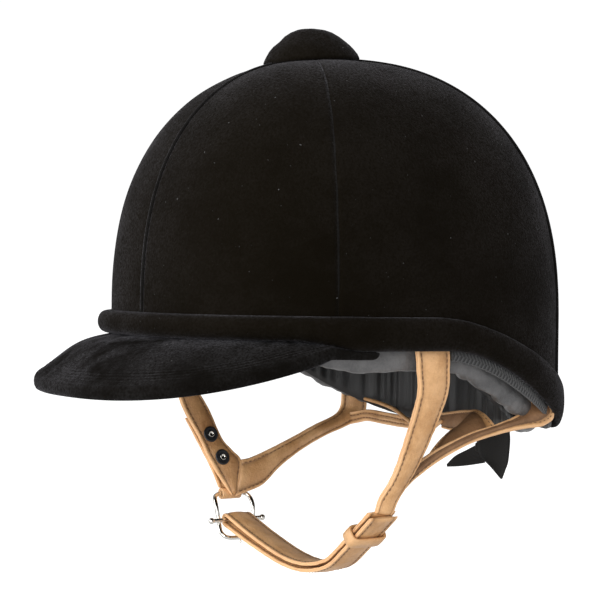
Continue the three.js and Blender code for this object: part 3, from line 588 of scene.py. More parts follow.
class Look:
    """Makes the shader nodes of a material or world; inputs take numbers, colours or other nodes."""

    def __init__(self, owner):
        owner.use_nodes = True
        self.owner = owner
        self.tree = owner.node_tree
        self.shader = self.tree.nodes.get("Principled BSDF") or self.tree.nodes["Background"]

    def feed(self, made, inputs):
        """Gives a node's inputs their values; the keys are the names or numbers of the inputs."""
        for key, value in inputs.items():
            if isinstance(value, bpy.types.NodeSocket):
                self.tree.links.new(value, made.inputs[key])
            elif isinstance(value, tuple) and made.inputs[key].type == "RGBA":
                made.inputs[key].default_value = (*value, 1)
            else:
                made.inputs[key].default_value = value

    def node(self, kind, inputs=(), **settings):
        made = self.tree.nodes.new("ShaderNode" + kind)
        for key, value in settings.items():
            setattr(made, key, value)
        self.feed(made, dict(inputs))
        return made

    def set(self, **inputs):
        """Inputs of the surface shader; an underscore in a key stands for a space."""
        self.feed(self.shader, {key.replace("_", " "): value for key, value in inputs.items()})

    def place(self, kind="Object", scale=(1, 1, 1), turn=(0, 0, 0)):
        source = self.node("TexCoord").outputs[kind]
        inputs = {"Scale": scale, "Rotation": turn, "Vector": source}
        return self.node("Mapping", inputs).outputs["Vector"]

    def noise(self, scale, detail=2.0, roughness=0.5, place=None):
        inputs = {"Scale": scale, "Detail": detail, "Roughness": roughness, "Vector": place or self.place()}
        return self.node("TexNoise", inputs).outputs["Fac"]

    def waves(self, scale, place, distortion=0.0):
        inputs = {"Scale": scale, "Distortion": distortion, "Vector": place}
        made = self.node("TexWave", inputs, wave_type="BANDS", bands_direction="X")
        return made.outputs["Fac"]

    def remap(self, value, low, high, to_low, to_high):
        inputs = {"Value": value, "From Min": low, "From Max": high, "To Min": to_low, "To Max": to_high}
        return self.node("MapRange", inputs).outputs["Result"]

    def combine(self, operation, first, second):
        return self.node("Math", {0: first, 1: second}, operation=operation).outputs["Value"]

    def mix(self, share, first, second):
        """From the first colour to the second as share goes from 0 to 1."""
        return self.node("Mix", {0: share, 6: first, 7: second}, data_type="RGBA").outputs[2]

    def bump(self, height, distance, strength, before=None):
        inputs = {"Strength": strength, "Distance": distance, "Height": height}
        if before is not None:
            inputs["Normal"] = before
        made = self.node("Bump", inputs).outputs["Normal"]
        self.set(Normal=made)
        return made


def new_look(name):
    return Look(bpy.data.materials.new(name))


def velvet_material(name, dark, light, sheen_weight, brushed=0.2):
    """Short black pile: dark when seen straight on, grey at grazing angles, with a little lint.

    brushed is how strongly the nap's direction shows in light and dark patches.
    """
    look = new_look(name)
    strokes = look.noise(120, 4, 0.6, look.place(scale=(1, 1, 1.6), turn=(0.5, 0.3, 0.2)))
    pile = look.noise(750, 3, 0.75)
    nap = look.combine("ADD", look.noise(26, 3), look.combine("MULTIPLY", strokes, 0.4))
    speck = look.remap(pile, 0.34, 0.66, 0.1, 1.9)
    brush = look.remap(nap, 0.56, 0.84, 0.8 - brushed, 0.8 + brushed)
    sheen = look.combine("MULTIPLY", look.combine("MULTIPLY", brush, speck), sheen_weight)
    shade = look.combine("MULTIPLY", look.remap(nap, 0.5, 0.95, 0, 1), speck)
    lint = look.remap(look.noise(700, 0), 0.865, 0.89, 0, 1)
    colour = look.mix(lint, look.mix(shade, dark, light), (0.07, 0.07, 0.07))
    look.set(Base_Color=colour, Sheen_Weight=sheen, Sheen_Roughness=0.38, Sheen_Tint=(0.55, 0.54, 0.6))
    look.set(Roughness=1.0, Specular_IOR_Level=0.05)
    look.bump(pile, 0.0004, 0.8)
    return look.owner


def leather_material(name, light, dark, seam, roughness, grain_depth, gloss=0.12):
    """Grained leather, darker along a stitch row, with a painted highlight on a turned edge."""
    look = new_look(name)
    clouds = look.combine("MULTIPLY", look.noise(60, 4, 0.6), 0.8)
    tone = look.combine("ADD", clouds, look.combine("MULTIPLY", look.noise(900, 2, 0.6), 0.2))
    groove_and_highlight = look.node("Attribute", attribute_name="groove_and_highlight").outputs["Fac"]
    colour = look.mix(look.remap(tone, 0.4, 0.6, 0, 1), dark, light)
    colour = look.mix(look.remap(groove_and_highlight, 0, 1, 0, 0.8), colour, seam)
    # a lighter colour on the turned edges: a painted highlight
    edge_highlight_colour = tuple(min(1, channel * 1.25 + 0.04) for channel in light)
    colour = look.mix(look.remap(groove_and_highlight, 0, -1, 0, 0.8), colour, edge_highlight_colour)
    cells = look.node("TexVoronoi", {"Scale": 1300, "Vector": look.place()}, feature="F1")
    wrinkles = look.noise(190, 4, 0.65, look.place(scale=(1, 1.6, 1)))
    look.bump(cells.outputs["Distance"], grain_depth, 0.5, look.bump(wrinkles, 0.0013, 0.5))
    worn_smooth = look.remap(wrinkles, 0.3, 0.7, roughness - 0.08, roughness + 0.12)
    look.set(Base_Color=colour, Roughness=worn_smooth, Coat_Weight=gloss, Coat_Roughness=0.28)
    return look.owner


def satin_material():
    look = new_look("satin_lining")
    threads = look.waves(900, look.place("UV"), 1.5)
    colour = look.mix(look.noise(80, 3), (0.0055, 0.0053, 0.0055), (0.013, 0.0125, 0.013))
    look.set(Base_Color=colour, Roughness=0.36, Sheen_Weight=0.12, Sheen_Roughness=0.3, Anisotropic=0.5)
    look.bump(threads, 0.0002, 0.3)
    return look.owner


def herringbone_material():
    """Woven tape: slanting ribs that change direction from row to row."""
    look = new_look("woven_tape")
    ribs = [look.waves(170, look.place("UV", turn=(0, 0, lean * math.pi / 4))) for lean in (1, -1)]
    across_rows = look.place("UV", scale=(0.0001, 620, 1))
    rows = look.node("TexChecker", {"Scale": 1, "Vector": across_rows}).outputs["Fac"]
    weave = look.node("Mix", {0: rows, 2: ribs[0], 3: ribs[1]}, data_type="FLOAT").outputs[0]
    colour = look.mix(weave, (0.004, 0.004, 0.004), (0.03, 0.03, 0.032))
    look.set(Base_Color=colour, Roughness=0.7, Sheen_Weight=0.3)
    look.bump(weave, 0.0006, 0.8)
    return look.owner


def ribbon_material():
    look = new_look("ribbon")
    ribs = look.waves(420, look.place("UV"))
    colour = look.mix(ribs, (0.0065, 0.006, 0.0055), (0.013, 0.012, 0.0115))
    look.set(Base_Color=colour, Roughness=0.75, Specular_IOR_Level=0.22, Sheen_Weight=0.04)
    look.bump(ribs, 0.0003, 0.5)
    return look.owner


def metal_material(name, light, dark, roughness, metallic=1.0):
    look = new_look(name)
    smudges = look.noise(350, 4, 0.6)
    polish = look.remap(smudges, 0.3, 0.7, roughness * 0.7, roughness * 1.4)
    look.set(Base_Color=look.mix(smudges, dark, light), Metallic=metallic, Roughness=polish)
    look.bump(look.noise(1500), 0.0001, 0.15)
    return look.owner


def matte_material(name, light, dark, roughness, scale, detail, bump_depth, bump_strength):
    look = new_look(name)
    grain = look.noise(scale, detail)
    look.set(Base_Color=look.mix(grain, dark, light), Roughness=roughness)
    look.bump(grain, bump_depth, bump_strength)
    return look.owner


VELVET = velvet_material("velvet", (0.0035, 0.0024, 0.001), (0.006, 0.0046, 0.003), 0.13)
# Velvet of the seam cords: a lighter base colour as a painted highlight along the seam ridges, and more
# sheen
HIGHLIGHT_VELVET = velvet_material("painted_highlight_velvet", (0.0055, 0.005, 0.0045), (0.01, 0.0095, 0.009), 0.3)
PEAK_VELVET = velvet_material("peak_velvet", (0.0026, 0.002, 0.0014), (0.0085, 0.0078, 0.0074), 0.1, 0.75)
TAN = leather_material(
    "tan_leather", (0.7, 0.405, 0.19), (0.52, 0.27, 0.105), (0.17, 0.08, 0.03), 0.42, 0.00022
)
# Tan darkened as painted shade, for the far straps seen from inside the helmet.
TAN_PAINTED_SHADE = leather_material(
    "tan_painted_shade", (0.56, 0.3, 0.125), (0.38, 0.18, 0.066), (0.15, 0.07, 0.026), 0.42, 0.00022
)
# Lining leather, darkened further as painted shade for the webs and inner faces in shadow.
TAN_LINING_PAINTED_SHADE = leather_material(
    "tan_lining_painted_shade", (0.28, 0.145, 0.066), (0.18, 0.088, 0.037), (0.1, 0.045, 0.018), 0.6, 0.00012, 0.03
)
BLACK_LEATHER = leather_material(
    "black_leather", (0.13, 0.127, 0.128), (0.065, 0.064, 0.065), (0.014, 0.014, 0.014), 0.36, 0.0001
)
SATIN = satin_material()
TAPE = herringbone_material()
RIBBON = ribbon_material()
NICKEL = metal_material("nickel", (0.86, 0.84, 0.79), (0.7, 0.68, 0.63), 0.14)
GUNMETAL = metal_material("gunmetal", (0.06, 0.062, 0.07), (0.03, 0.031, 0.035), 0.42, 0.7)
THREAD = matte_material("thread", (0.3, 0.17, 0.085), (0.1, 0.05, 0.022), 0.75, 1800, 2, 0.0002, 0.5)
SHELL = matte_material("hard_shell", (0.035, 0.035, 0.036), (0.02, 0.02, 0.02), 0.5, 700, 3, 0.0004, 0.4)
FOAM = matte_material("foam", (0.06, 0.06, 0.062), (0.03, 0.03, 0.031), 0.9, 400, 3, 0.0004, 0.4)


def settle(obj, body, slot, *nodes):
    """The piece rides on a body and stands for CAD nodes; the slot is not used."""
    if body:
        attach(obj, body)
    if nodes:
        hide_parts(*nodes)


# ---------- straps and stitches ----------


def strap_section(width, thickness, fullness):
    """Across positions and heights of one face of a padded strap, from one edge to the other."""
    scale = thickness / FULL_STRAP
    half = [(inset, height * scale) for inset, height in SOFT_HALF if inset < width / 2 - 0.6]
    left = [(-width / 2 + inset, height) for inset, height in half]
    right = [(width / 2 - inset, height) for inset, height in reversed(half)]
    middle = [(0, (SOFT_HALF[-1][1] + 0.2) * scale)]
    face = np.array(left + middle + right)
    face[:, 1] += np.clip(1 - (2 * face[:, 0] / width) ** 2, 0, 1) * fullness * 0.5
    return face


def broad(x, y, z, across, width):
    """One station of a strap from its middle, the direction across it, and its width."""
    half = unit(across) * width / 2
    middle = np.array([x, y, z])
    return middle - half, middle + half


def strap_frame(keys, step=STRAP_STEP):
    """Even stations of a strap from the two points of its edges: middle, across, face and width."""
    rows = np.asarray(keys, float).reshape(-1, 6)
    params = even_params((rows[:, :3] + rows[:, 3:]) / 2, step)
    first, second = curve(rows[:, :3], params), curve(rows[:, 3:], params)
    centre = (first + second) / 2
    width = np.linalg.norm(second - first, axis=1)
    across = (second - first) / np.maximum(width, 1e-6)[:, None]
    face = unit(np.cross(unit(np.gradient(centre, axis=0)), across))
    return centre, across, face, width


def strap(node_name, body, keys, thickness=FULL_STRAP, fullness=0.6, seed=1, creases=0.17, lining=(),
          soft=TAN_LINING_PAINTED_SHADE):
    """A padded leather strap with turned edges, and its rows of stitches as a second piece.

    lining lists the faces (1, -1) whose middle shows the second leather, a darker tan with painted shade in
    it. body may be None for a piece that rides on no body.
    """
    centre, across, face, width = strap_frame(keys)
    flat = float(np.median(width))
    section = strap_section(flat, thickness, fullness)
    loop = np.vstack([section, section[::-1] * [1, -1]])
    inset = flat / 2 - np.abs(loop[:, 0])
    turned_edge = np.sign(loop[:, 0]) * (width[:, None] / 2 - inset)
    spread = loop[:, 0] / flat * width[:, None]
    keep = np.clip(inset / EDGE_KEEP, 0, 1)
    across_at = turned_edge * (1 - keep) + spread * keep
    across_at = np.where(width[:, None] < NARROW_STRAP, spread, across_at)
    height = np.broadcast_to(loop[:, 1], across_at.shape).copy()
    reach = lengths_along(centre)
    for end in (reach, reach[-1] - reach):
        height *= np.sqrt(np.clip((end[:, None] + 0.25) / 1.8, 0, 1))
    points = centre[:, None] + across[:, None] * across_at[..., None] + face[:, None] * height[..., None]
    swell = creases * wobble(points, 7, seed) + 0.5 * creases * wobble(points, 2.6, seed + 1)
    points = points + face[:, None] * (swell * np.sign(loop[:, 1]))[..., None]
    stitch_groove = np.clip(1 - np.abs(inset - STITCH_INSET), 0, 1)
    # painted highlight on the turned edges, kept as negative values beside the stitch-row darkening
    edge = np.clip(1 - inset / EDGE_HIGHLIGHT, 0, 1)
    groove_and_highlight = np.broadcast_to(stitch_groove * 0.8 - edge, height.shape)
    # columns that take the second leather, the darker tan with painted shade
    shaded_columns = (inset > STITCH_INSET - 0.3) & np.isin(np.sign(loop[:, 1]), lining)
    build = Build()
    ring_solid(build, points, groove_and_highlight=groove_and_highlight, second=set(np.where(shaded_columns)[0]))
    seams = Build()
    lift = float(np.interp(-flat / 2 + STITCH_INSET, section[:, 0], section[:, 1]))
    for facing in (1, -1):
        for side in (-1, 1):
            line = centre + across * (side * np.maximum(width / 2 - STITCH_INSET, 0.5))[:, None]
            stitch_row(seams, line + face * (facing * lift), face * facing, seed)
    leather = build.make(node_name + "_leather", TAN, soft)
    stitches = seams.make(node_name + "_leather_stitches", THREAD)
    settle(leather, body, "tan_leather", node_name)
    settle(stitches, body, "tan_leather")
    return leather, stitches


def stitch_row(build, line, normals, seed):
    """Short thread loops one after the other along a line, each dipping into the leather at its ends."""
    reach = lengths_along(line)
    source = random.Random(seed)
    ends = np.linspace(-0.5, 0.5, len(STITCH_LIFT)) * STITCH_LENGTH
    lift = np.array(STITCH_LIFT)
    for spot in np.arange(STITCH_PITCH, reach[-1] - STITCH_PITCH, STITCH_PITCH):
        at = spot + source.uniform(-STITCH_JITTER, STITCH_JITTER) + ends
        points, normal = (
            np.stack([np.interp(at, reach, values[:, k]) for k in range(3)], axis=-1)
            for values in (line, normals)
        )
        tube(build, points + normal * lift[:, None], STITCH_RADIUS, sides=6, across=normal)


# ---------- padding ----------


def positions(mesh):
    flat = np.empty(len(mesh.vertices) * 3)
    mesh.vertices.foreach_get("co", flat)
    return flat.reshape(-1, 3)


def cloth_copy(obj, sewn):
    """An even, coarser copy of a padded piece with cloth on it, pinned where it is sewn down."""
    copy = obj.copy()
    copy.data = obj.data.copy()
    bpy.context.scene.collection.objects.link(copy)
    bpy.context.view_layer.objects.active = copy
    copy.data.remesh_voxel_size = CLOTH_VOXEL * MM
    with bpy.context.temp_override(object=copy, active_object=copy, selected_objects=[copy]):
        bpy.ops.object.voxel_remesh()
    rest = positions(copy.data)
    group = copy.vertex_groups.new(name="sewn")
    group.add(np.where(sewn(rest / MM + [0, 0, CROWN_SEAT_Z]))[0].tolist(), 1.0, "REPLACE")
    cloth = copy.modifiers.new("air", "CLOTH")
    for key, value in CLOTH_SETTINGS.items():
        setattr(cloth.settings, key, value)
    cloth.settings.vertex_group_mass = group.name
    cloth.settings.effector_weights.gravity = 0
    cloth.point_cache.frame_start = 1
    cloth.point_cache.frame_end = CLOTH_FRAMES
    return copy, rest


def puff_up(obj, sewn, limit=SWELL_LIMIT):
    """Fills a padded piece with air in a short cloth run and carries the swelling to its fine mesh."""
    scene = bpy.context.scene
    copy, rest = cloth_copy(obj, sewn)
    for number in range(1, CLOTH_FRAMES + 1):
        scene.frame_set(number)
    blown = copy.evaluated_get(bpy.context.evaluated_depsgraph_get())
    swell = (positions(blown.data) - rest) / MM
    size = np.linalg.norm(swell, axis=1)
    swell *= (np.tanh(size / limit) * limit / np.maximum(size, 1e-6))[:, None] * MM
    scene.frame_set(1)
    bpy.data.objects.remove(copy)
    tree = KDTree(len(rest))
    for index, point in enumerate(rest):
        tree.insert(point, index)
    tree.balance()
    fine = positions(obj.data)
    for index, point in enumerate(fine.copy()):
        near = tree.find_n(point, CARRY_NEIGHBOURS)
        weights = np.array([1 / (distance + 0.5 * MM) ** 2 for _, _, distance in near])
        moves = swell[[neighbour for _, neighbour, _ in near]]
        fine[index] += (moves * weights[:, None]).sum(axis=0) / weights.sum()
    obj.data.vertices.foreach_set("co", fine.ravel())
    obj.data.update()


# ---------- skull ----------


def panel_grid(start, end, offset, puff):
    """Points of a crown panel between two seams, from under the hat band up to the button."""
    share = np.linspace(0, 1, int((end - start) * 0.8) + 1)
    turn = mix(start, end, share)
    fullness = np.clip(np.sin(math.pi * share), 0, 1) ** 0.35 * puff - 0.35 * puff
    rows = []
    for drop in np.linspace(1, 0, 9)[:-1]:
        rows.append(wall_point(turn, offset + fullness, mix(EQUATOR_Z, band_top(turn) - 3, drop)))
    for latitude in PANEL_TOP_LATITUDE * np.linspace(0, 1, 72):
        fade = 1 - smooth(latitude, 70, PANEL_TOP_LATITUDE)
        rows.append(dome_point(turn, latitude, offset + fullness * fade))
    return np.array(rows)


def crown_panels():
    for index, place in enumerate(("front", "side", "rear")):
        start, end = SEAM_TURNS[index : index + 2]
        for side, (low, high) in (("left", (start, end)), ("right", (-end, -start))):
            node_name = f"{place}_{side}_panel"
            outer = panel_grid(low, high, SKIN, PANEL_PUFF)
            outer = outer + unit(outer - [0, 0, 20]) * (0.12 * wobble(outer, 30, index + 3))[..., None]
            build = Build()
            slab(build, outer, panel_grid(low, high, VELVET_BACK, 0))
            settle(build.make(node_name + "_velvet", VELVET), "helmet", "velvet", node_name)


def seam_piping():
    """A thin velvet-covered cord in every seam between two panels."""
    build = Build()
    for turn in (0, 60, 135, 180, -135, -60):
        offset = SKIN + PIPING_PROUD - (SEAM_SUNK if abs(turn) == 60 else 0)
        wall = wall_point(turn, offset, np.linspace(float(band_top(turn)) - 1, EQUATOR_Z, 6)[:-1])
        dome = dome_point(turn, np.linspace(0, PANEL_TOP_LATITUDE - 1, 70), offset)
        tube(build, np.vstack([wall, dome]), PIPING_RADIUS, across=outward_at(turn))
    # the cords' lighter velvet paints a highlight along each seam
    settle(build.make("seam_piping", HIGHLIGHT_VELVET), "helmet", "velvet")


def hat_band():
    """A soft velvet roll round the skull that slims down towards the nape."""
    turns = np.arange(0, 360, 1.5)
    top = band_top(turns)
    low = rim_height(turns)
    squareness = mix(*BAND_SQUARENESS, smooth(side_turn(turns), *BAND_ROLLED_TURNS))
    fullness = mix(BAND_BULGE, BAND_NAPE_BULGE, smooth(side_turn(turns), *BAND_SLIM_TURNS))
    lines = []
    for angle in np.linspace(-0.5, 0.5, 19) * math.pi:
        z = mix(low - 0.6, top + 0.3, 0.5 + 0.5 * math.sin(angle))
        lines.append(wall_point(turns, 0.5 + fullness * np.abs(math.cos(angle)) ** squareness, z))
    lines += [wall_point(turns, 0.2, mix(top, low, share)) for share in (0.1, 0.5, 0.9)]
    points = np.array(lines)
    points = points + outward_at(turns) * (0.22 * wobble(points, 22, 5))[..., None]
    build = Build()
    long_solid(build, points, closed=True)
    band = build.make("hat_band_velvet", VELVET)
    puff_up(band, lambda points: np.zeros(len(points), bool))
    settle(band, "helmet", "velvet", "hat_band")


def peak_point(across, outward, depth):
    turn = across * PEAK_END
    squareness, draw_in = PEAK_PLAN_POWERS
    span = np.maximum(0, 1 - np.abs(across) ** squareness) ** draw_in
    reach = np.maximum(PEAK_LEAST_REACH, PEAK_REACH * span + PEAK_ROOT_REACH - PEAK_ROOT_OFFSET)
    root = wall_point(turn, PEAK_ROOT_OFFSET, rim_height(turn) - PEAK_ROOT_DROP)
    fall = PEAK_REACH * span * math.tan(math.radians(PEAK_SLOPE))
    edge_z = np.minimum(-PEAK_ROOT_DROP - fall + PEAK_END_RISE * across**2, root[..., 2])
    point = root + outward_at(turn) * (reach * outward)[..., None]
    camber = PEAK_CAMBER * span * math.sin(outward * math.pi)
    point[..., 2] = mix(root[..., 2], edge_z, outward) + camber - depth
    return point, reach


def peak_top(across):
    """Lines along the upper face, ribbed near the edge by the rows of stitching."""
    lines = []
    for outward in np.concatenate([np.linspace(0, 0.7, 16), np.linspace(0.72, 1, 34)]):
        line, reach = peak_point(across, outward, -0.1)
        inside = (1 - outward) * reach
        stitched = smooth(inside, 1.2, 2.2) * (1 - smooth(inside, 7.2, 8.4))
        ridge = PEAK_ROW_HEIGHT * np.cos(2 * math.pi * inside / PEAK_ROW_PITCH) * stitched
        line[..., 2] += ridge * (0.6 + 0.4 * wobble(line, 9, 21)) + 0.25 * wobble(line, 26, 22)
        lines.append(line)
    return lines


def peak_cover():
    """Velvet drawn over the peak and round its edge."""
    across = np.sin(np.linspace(-0.5, 0.5, 221) * math.pi) * PEAK_COVER_REACH
    lines = peak_top(across)
    rim, reach = peak_point(across, 1, 0)
    out = outward_at(across * PEAK_END)
    slim = smooth(reach, 2, 14)
    half = mix(PEAK_END_DEPTH, PEAK_EDGE_DEPTH, slim) / 2
    for bend in np.radians([60, 30, 0, -30, -60]):
        line = rim + out * (0.3 + 2.0 * math.cos(bend)) * np.maximum(slim, 0.4)[:, None]
        line[..., 2] += -half + (half + 0.1) * math.sin(bend)
        lines.append(line)
    for outward in np.linspace(1, 0, 14):
        depth = mix(PEAK_END_DEPTH, mix(PEAK_DEPTH, PEAK_EDGE_DEPTH, outward), slim) + 0.1
        lines.append(peak_point(across, outward, depth)[0])
    points = np.array(lines)
    past = np.clip((np.abs(across) - 1) / (PEAK_COVER_REACH - 1), 0, 0.98)
    middle = points.mean(axis=0)
    build = Build()
    long_solid(build, middle + (points - middle) * np.sqrt(1 - past**2)[:, None])
    settle(build.make("peak_velvet", PEAK_VELVET), "helmet", "velvet", "peak_top_cover", "peak_under_cover")


def crown_button():
    """Velvet gathered over a domed disc: its base follows the crown and its edge rolls under."""
    angle = circle(120)
    rings, rises = np.array(BUTTON_PROFILE).T[..., None]
    x = BUTTON_RADIUS * rings * np.sin(angle)
    y = -POLE_SHIFT - DOME_LEAN - BUTTON_RADIUS * rings * np.cos(angle)
    base = EQUATOR_Z + dome_height(x, y + DOME_LEAN, 0) + BUTTON_BASE_GAP
    points = xyz(x, y, mix(base, BUTTON_TOP_Z, rises))
    points[..., 2] += 0.15 * wobble(points, 12, 31) * np.minimum(1, rises * 3)
    build = Build()
    ring_solid(build, points)
    button = build.make("crown_button_velvet", VELVET)
    puff_up(button, lambda points: points[:, 2] < BUTTON_TOP_Z - 16, BUTTON_SWELL_LIMIT)
    settle(button, "helmet", "velvet", "crown_button")


# ---------- inside the rim ----------


def rim_tape():
    """Woven tape inside the rim, turned up out of sight where it meets the peak."""
    start, end = TAPE_RUN
    turns = np.linspace(start, end, int((end - start) * 1.4))
    shown = smooth(side_turn(turns), PEAK_END - 4, PEAK_END + 12)
    low = rim_height(turns) - tucked(turns, TAPE_BELOW_RIM) * shown
    high = rim_height(turns) + TAPE_ABOVE_RIM
    build = Build()
    long_solid(build, [wall_point(turns, offset, mix(low, high, share)) for offset, share in TAPE_PROFILE])
    settle(build.make("rim_tape", TAPE), "helmet", "tape", "rim_binding")


def headband_roll():
    """Padded black leather roll inside the rim, puckered along the seam at its lower edge."""
    turns = np.arange(0, 360, 1.0)
    middle = (ROLL_OUTER + ROLL_INNER) / 2
    depth = (ROLL_OUTER - ROLL_INNER) / 2
    height = (ROLL_ABOVE_RIM + tucked(turns, ROLL_BELOW_RIM)) / 2
    folds = 0.5 + 0.5 * np.sin(np.radians(turns) * 46 + 2.4 * np.sin(np.radians(turns) * 7))
    dents = sum(np.exp(-(((side_turn(turns) - spot) / ROLL_FOLD_WIDTH) ** 2)) for spot in ROLL_FOLDS)
    lines = []
    for angle in circle(28):
        low = max(0, -math.sin(angle + 0.6)) ** 2
        facing = max(0, -math.cos(angle - 0.5)) ** 0.7
        pucker = ROLL_PUCKER * low * folds**2 + ROLL_FOLD_DEPTH * dents * facing
        z = rim_height(turns) + ROLL_ABOVE_RIM - height + (height - pucker) * math.sin(angle)
        lines.append(wall_point(turns, middle + (depth - pucker) * math.cos(angle), z))
    build = Build()
    long_solid(build, lines, closed=True)
    roll = build.make("headband_roll", BLACK_LEATHER)
    puff_up(roll, lambda points: outside_wall(points) > ROLL_OUTER - 2)
    settle(roll, "helmet", "black_leather", "headband")


def lining():
    """Black satin gathered into folds above its lower hem."""
    turns = np.arange(0, 360, 0.75)
    rad = np.radians(turns)
    broad_folds = np.sin(rad * 58 + 3 * np.sin(rad * 5)) * (0.6 + 0.4 * np.sin(rad * 13 + 1))
    narrow_folds = np.sin(rad * 97 + 2 * np.sin(rad * 7)) * (0.5 + 0.5 * np.sin(rad * 9))
    rows = []
    for level in np.linspace(0, 1, 14):
        z = mix(rim_height(turns) - tucked(turns, LINING_BELOW_RIM), EQUATOR_Z + 4, level)
        lean = 1 + 0.35 * level * np.sin(rad * 17)
        folds = broad_folds * lean + 0.7 * narrow_folds * (1 - 0.5 * level)
        deep = math.exp(-(((level - 0.28) / 0.3) ** 2)) * folds
        rows.append(wall_point(turns, LINING_OFFSET + 0.99 * deep - 0.4, z))
    for latitude in np.linspace(4, 90, 30):
        fade = 0.15 * (1 - smooth(latitude, 0, 40))
        rows.append(dome_point(turns, latitude, LINING_OFFSET + folds * fade))
    outer = np.array(rows)
    inner = outer + unit([0, -10, 60] - outer) * LINING_THICKNESS
    u, v = np.meshgrid(turns / 360 * 600, lengths_along(outer[:, 0]))
    uv = np.stack([u, v], axis=-1).reshape(-1, 2)
    build = Build()
    faces = grid_faces(len(outer), len(turns), wrap_columns=True)
    skinned(build, outer, inner, faces, list(range(len(turns))), uv)
    settle(build.make("gathered_lining", SATIN), "helmet", "satin", "satin_lining")


def crown_pad():
    build = Build()
    turned(build, (0, 0, CROWN_SEAT_Z), (0, 0, 1), PAD_PROFILE, 72)
    pad = build.make("crown_pad_leather", BLACK_LEATHER)
    puff_up(pad, lambda points: points[:, 2] < CROWN_SEAT_Z + 1.5)
    settle(pad, "helmet", "black_leather", "crown_pad")


# ---------- harness ----------


def at_wall(turn, z, width, sign=1, offset=STRAP_OFFSET):
    """One station of a strap where it lies against the inside of the skull."""
    return broad(*wall_point(turn, offset, z), along_wall(turn) * sign, width)


STRAP_OUTWARD = unit([-0.955, 0, -0.296])
# Each strap: the faces that show the second leather, that leather (a darker tan with painted shade in it),
# and the two edge points of each station.
HARNESS = {
    "left_front_strap": ((-1,), TAN_LINING_PAINTED_SHADE, [
        at_wall(84, 10, 21, 1, -6.5),
        at_wall(85, 1, 21, 1, -4.2),
        at_wall(85.5, -7, 21, 1, -3),
        at_wall(86, -16, 20.5, 1, -3.8),
        ((99.6, -15.8, -30), (99.6, 3.8, -30)), ((90.5, -18.2, -58), (90.5, -1.3, -56)),
        ((85, -21.5, -75), (84.5, -6.3, -72)), ((80, -25.5, -85.5), (80.5, -12.5, -85)),
        ((78, -27, -93.5), (79, -16.5, -95)),
    ]),
    # From the junction along the side: its upper edge, then its lower edge.
    "left_rear_arm": ((-1,), TAN_LINING_PAINTED_SHADE, [
        ((79, -9, -72), (80, -11, -83)), ((78.5, 2, -66.5), (79.5, -2, -76.5)),
        ((79, 16, -59.5), (80.5, 14.5, -67)), ((80.5, 36, -52.3), (82.5, 34.9, -58.2)),
        ((81, 54, -48.5), (84.5, 54.8, -53)), ((81.5, 69, -43.5), (86.5, 71, -50.5)),
        ((81.5, 77.5, -36), (88.5, 84.5, -49)), ((80.5, 81.5, -30), (86, 92.5, -42.5)),
        at_wall(131, -26, 14, -1, -7.5),
        at_wall(130, -15, 14, -1),
    ]),
    # A web from the arm that narrows, folds inwards and ends at the lace.
    "left_nape_strap": ((-1, 1), TAN_LINING_PAINTED_SHADE, [
        ((78.6, 3, -70), (81, 55, -51.5)), ((73.5, 15, -61.5), (77.5, 54.5, -47.5)),
        ((68, 28.8, -55), (71.5, 55, -44.2)), ((61, 43, -52.5), (63, 56.5, -42)),
        ((48, 57, -55.5), (52, 60.5, -42.5)), ((30, 65, -56.4), (38, 64.2, -43.6)),
        ((13.6, 69, -56), (12, 69, -47)),
    ]),
    "right_front_strap": ((1, -1), TAN_PAINTED_SHADE, [
        at_wall(-57, 10, 17, -1),
        at_wall(-59, -7, 16.5, -1),
        ((-90, -38.7, -41), (-90, -54.1, -41)), ((-85, -26.9, -66), (-85, -42.3, -66)),
        ((-81.5, -21.5, -73.5), (-82.2, -38.5, -76)), ((-79, -16, -80), (-79.6, -33.5, -86)),
        ((-77, -18.2, -90), (-77.6, -28.5, -94)), ((-75.6, -20.8, -100.2), (-75.8, -23.6, -101.2)),
    ]),
    # From the mitred corner along the far side and up inside the rim.
    "right_rear_arm": ((), TAN_PAINTED_SHADE, [
        ((-78, -16.2, -79.5), (-75.3, -21.6, -101.4)), ((-78, -9.5, -78.6), (-75.8, -13.5, -99.3)),
        ((-77.6, 0, -75.3), (-76, -1.5, -95.2)), ((-77.6, 7, -72.7), (-76.3, 11.5, -84.5)),
        ((-78.2, 23, -66.5), (-77.4, 28, -75)), ((-80, 40, -59.8), (-79, 46, -67.5)),
        ((-85, 57, -55), (-82, 64, -62.5)), ((-88.5, 64.5, -50.5), (-83, 79, -56)),
        ((-89, 66, -42), (-82.5, 81.5, -45)),
        at_wall(-126, -25, 16, -1),
        at_wall(-126, -15, 16, -1),
    ]),
    "right_nape_strap": ((), TAN_PAINTED_SHADE, [
        ((-88, 69, -62), (-89, 68, -54)), ((-79, 71.5, -60), (-79.5, 71, -52.5)),
        ((-67.4, 72, -58), (-67.6, 72, -50.5)), ((-48.9, 72, -58.6), (-49.1, 72, -51)),
        ((-34, 71.6, -59), (-34, 71.6, -51.6)), ((-21.4, 71, -58.9), (-21.5, 71, -52.5)),
    ]),
}
LACE_LINE = (
    (-66, 68.5, -43.5), (-50, 68, -45), (-33, 67.4, -48), (-18, 66, -53), (-5, 66.5, -58), (6, 66, -57),
    (18, 64.5, -51.5),
)
LACE_ENDS = (
    ((3, 61.5, -62), (0, 60.5, -64.5), (-4.5, 60, -66)),
    ((4, 61.5, -62), (7, 60, -63), (8.5, 58, -66)),
)
BOW_RIGHT_TAIL = (
    ((8, 106, -66), (9, 106, -79)), ((-6, 106.5, -71.5), (-4, 106.5, -81.5)),
    ((-19, 106, -77), (-16, 106, -83.5)), ((-27.5, 105.5, -83.3), (-27, 105.5, -84.8)),
)
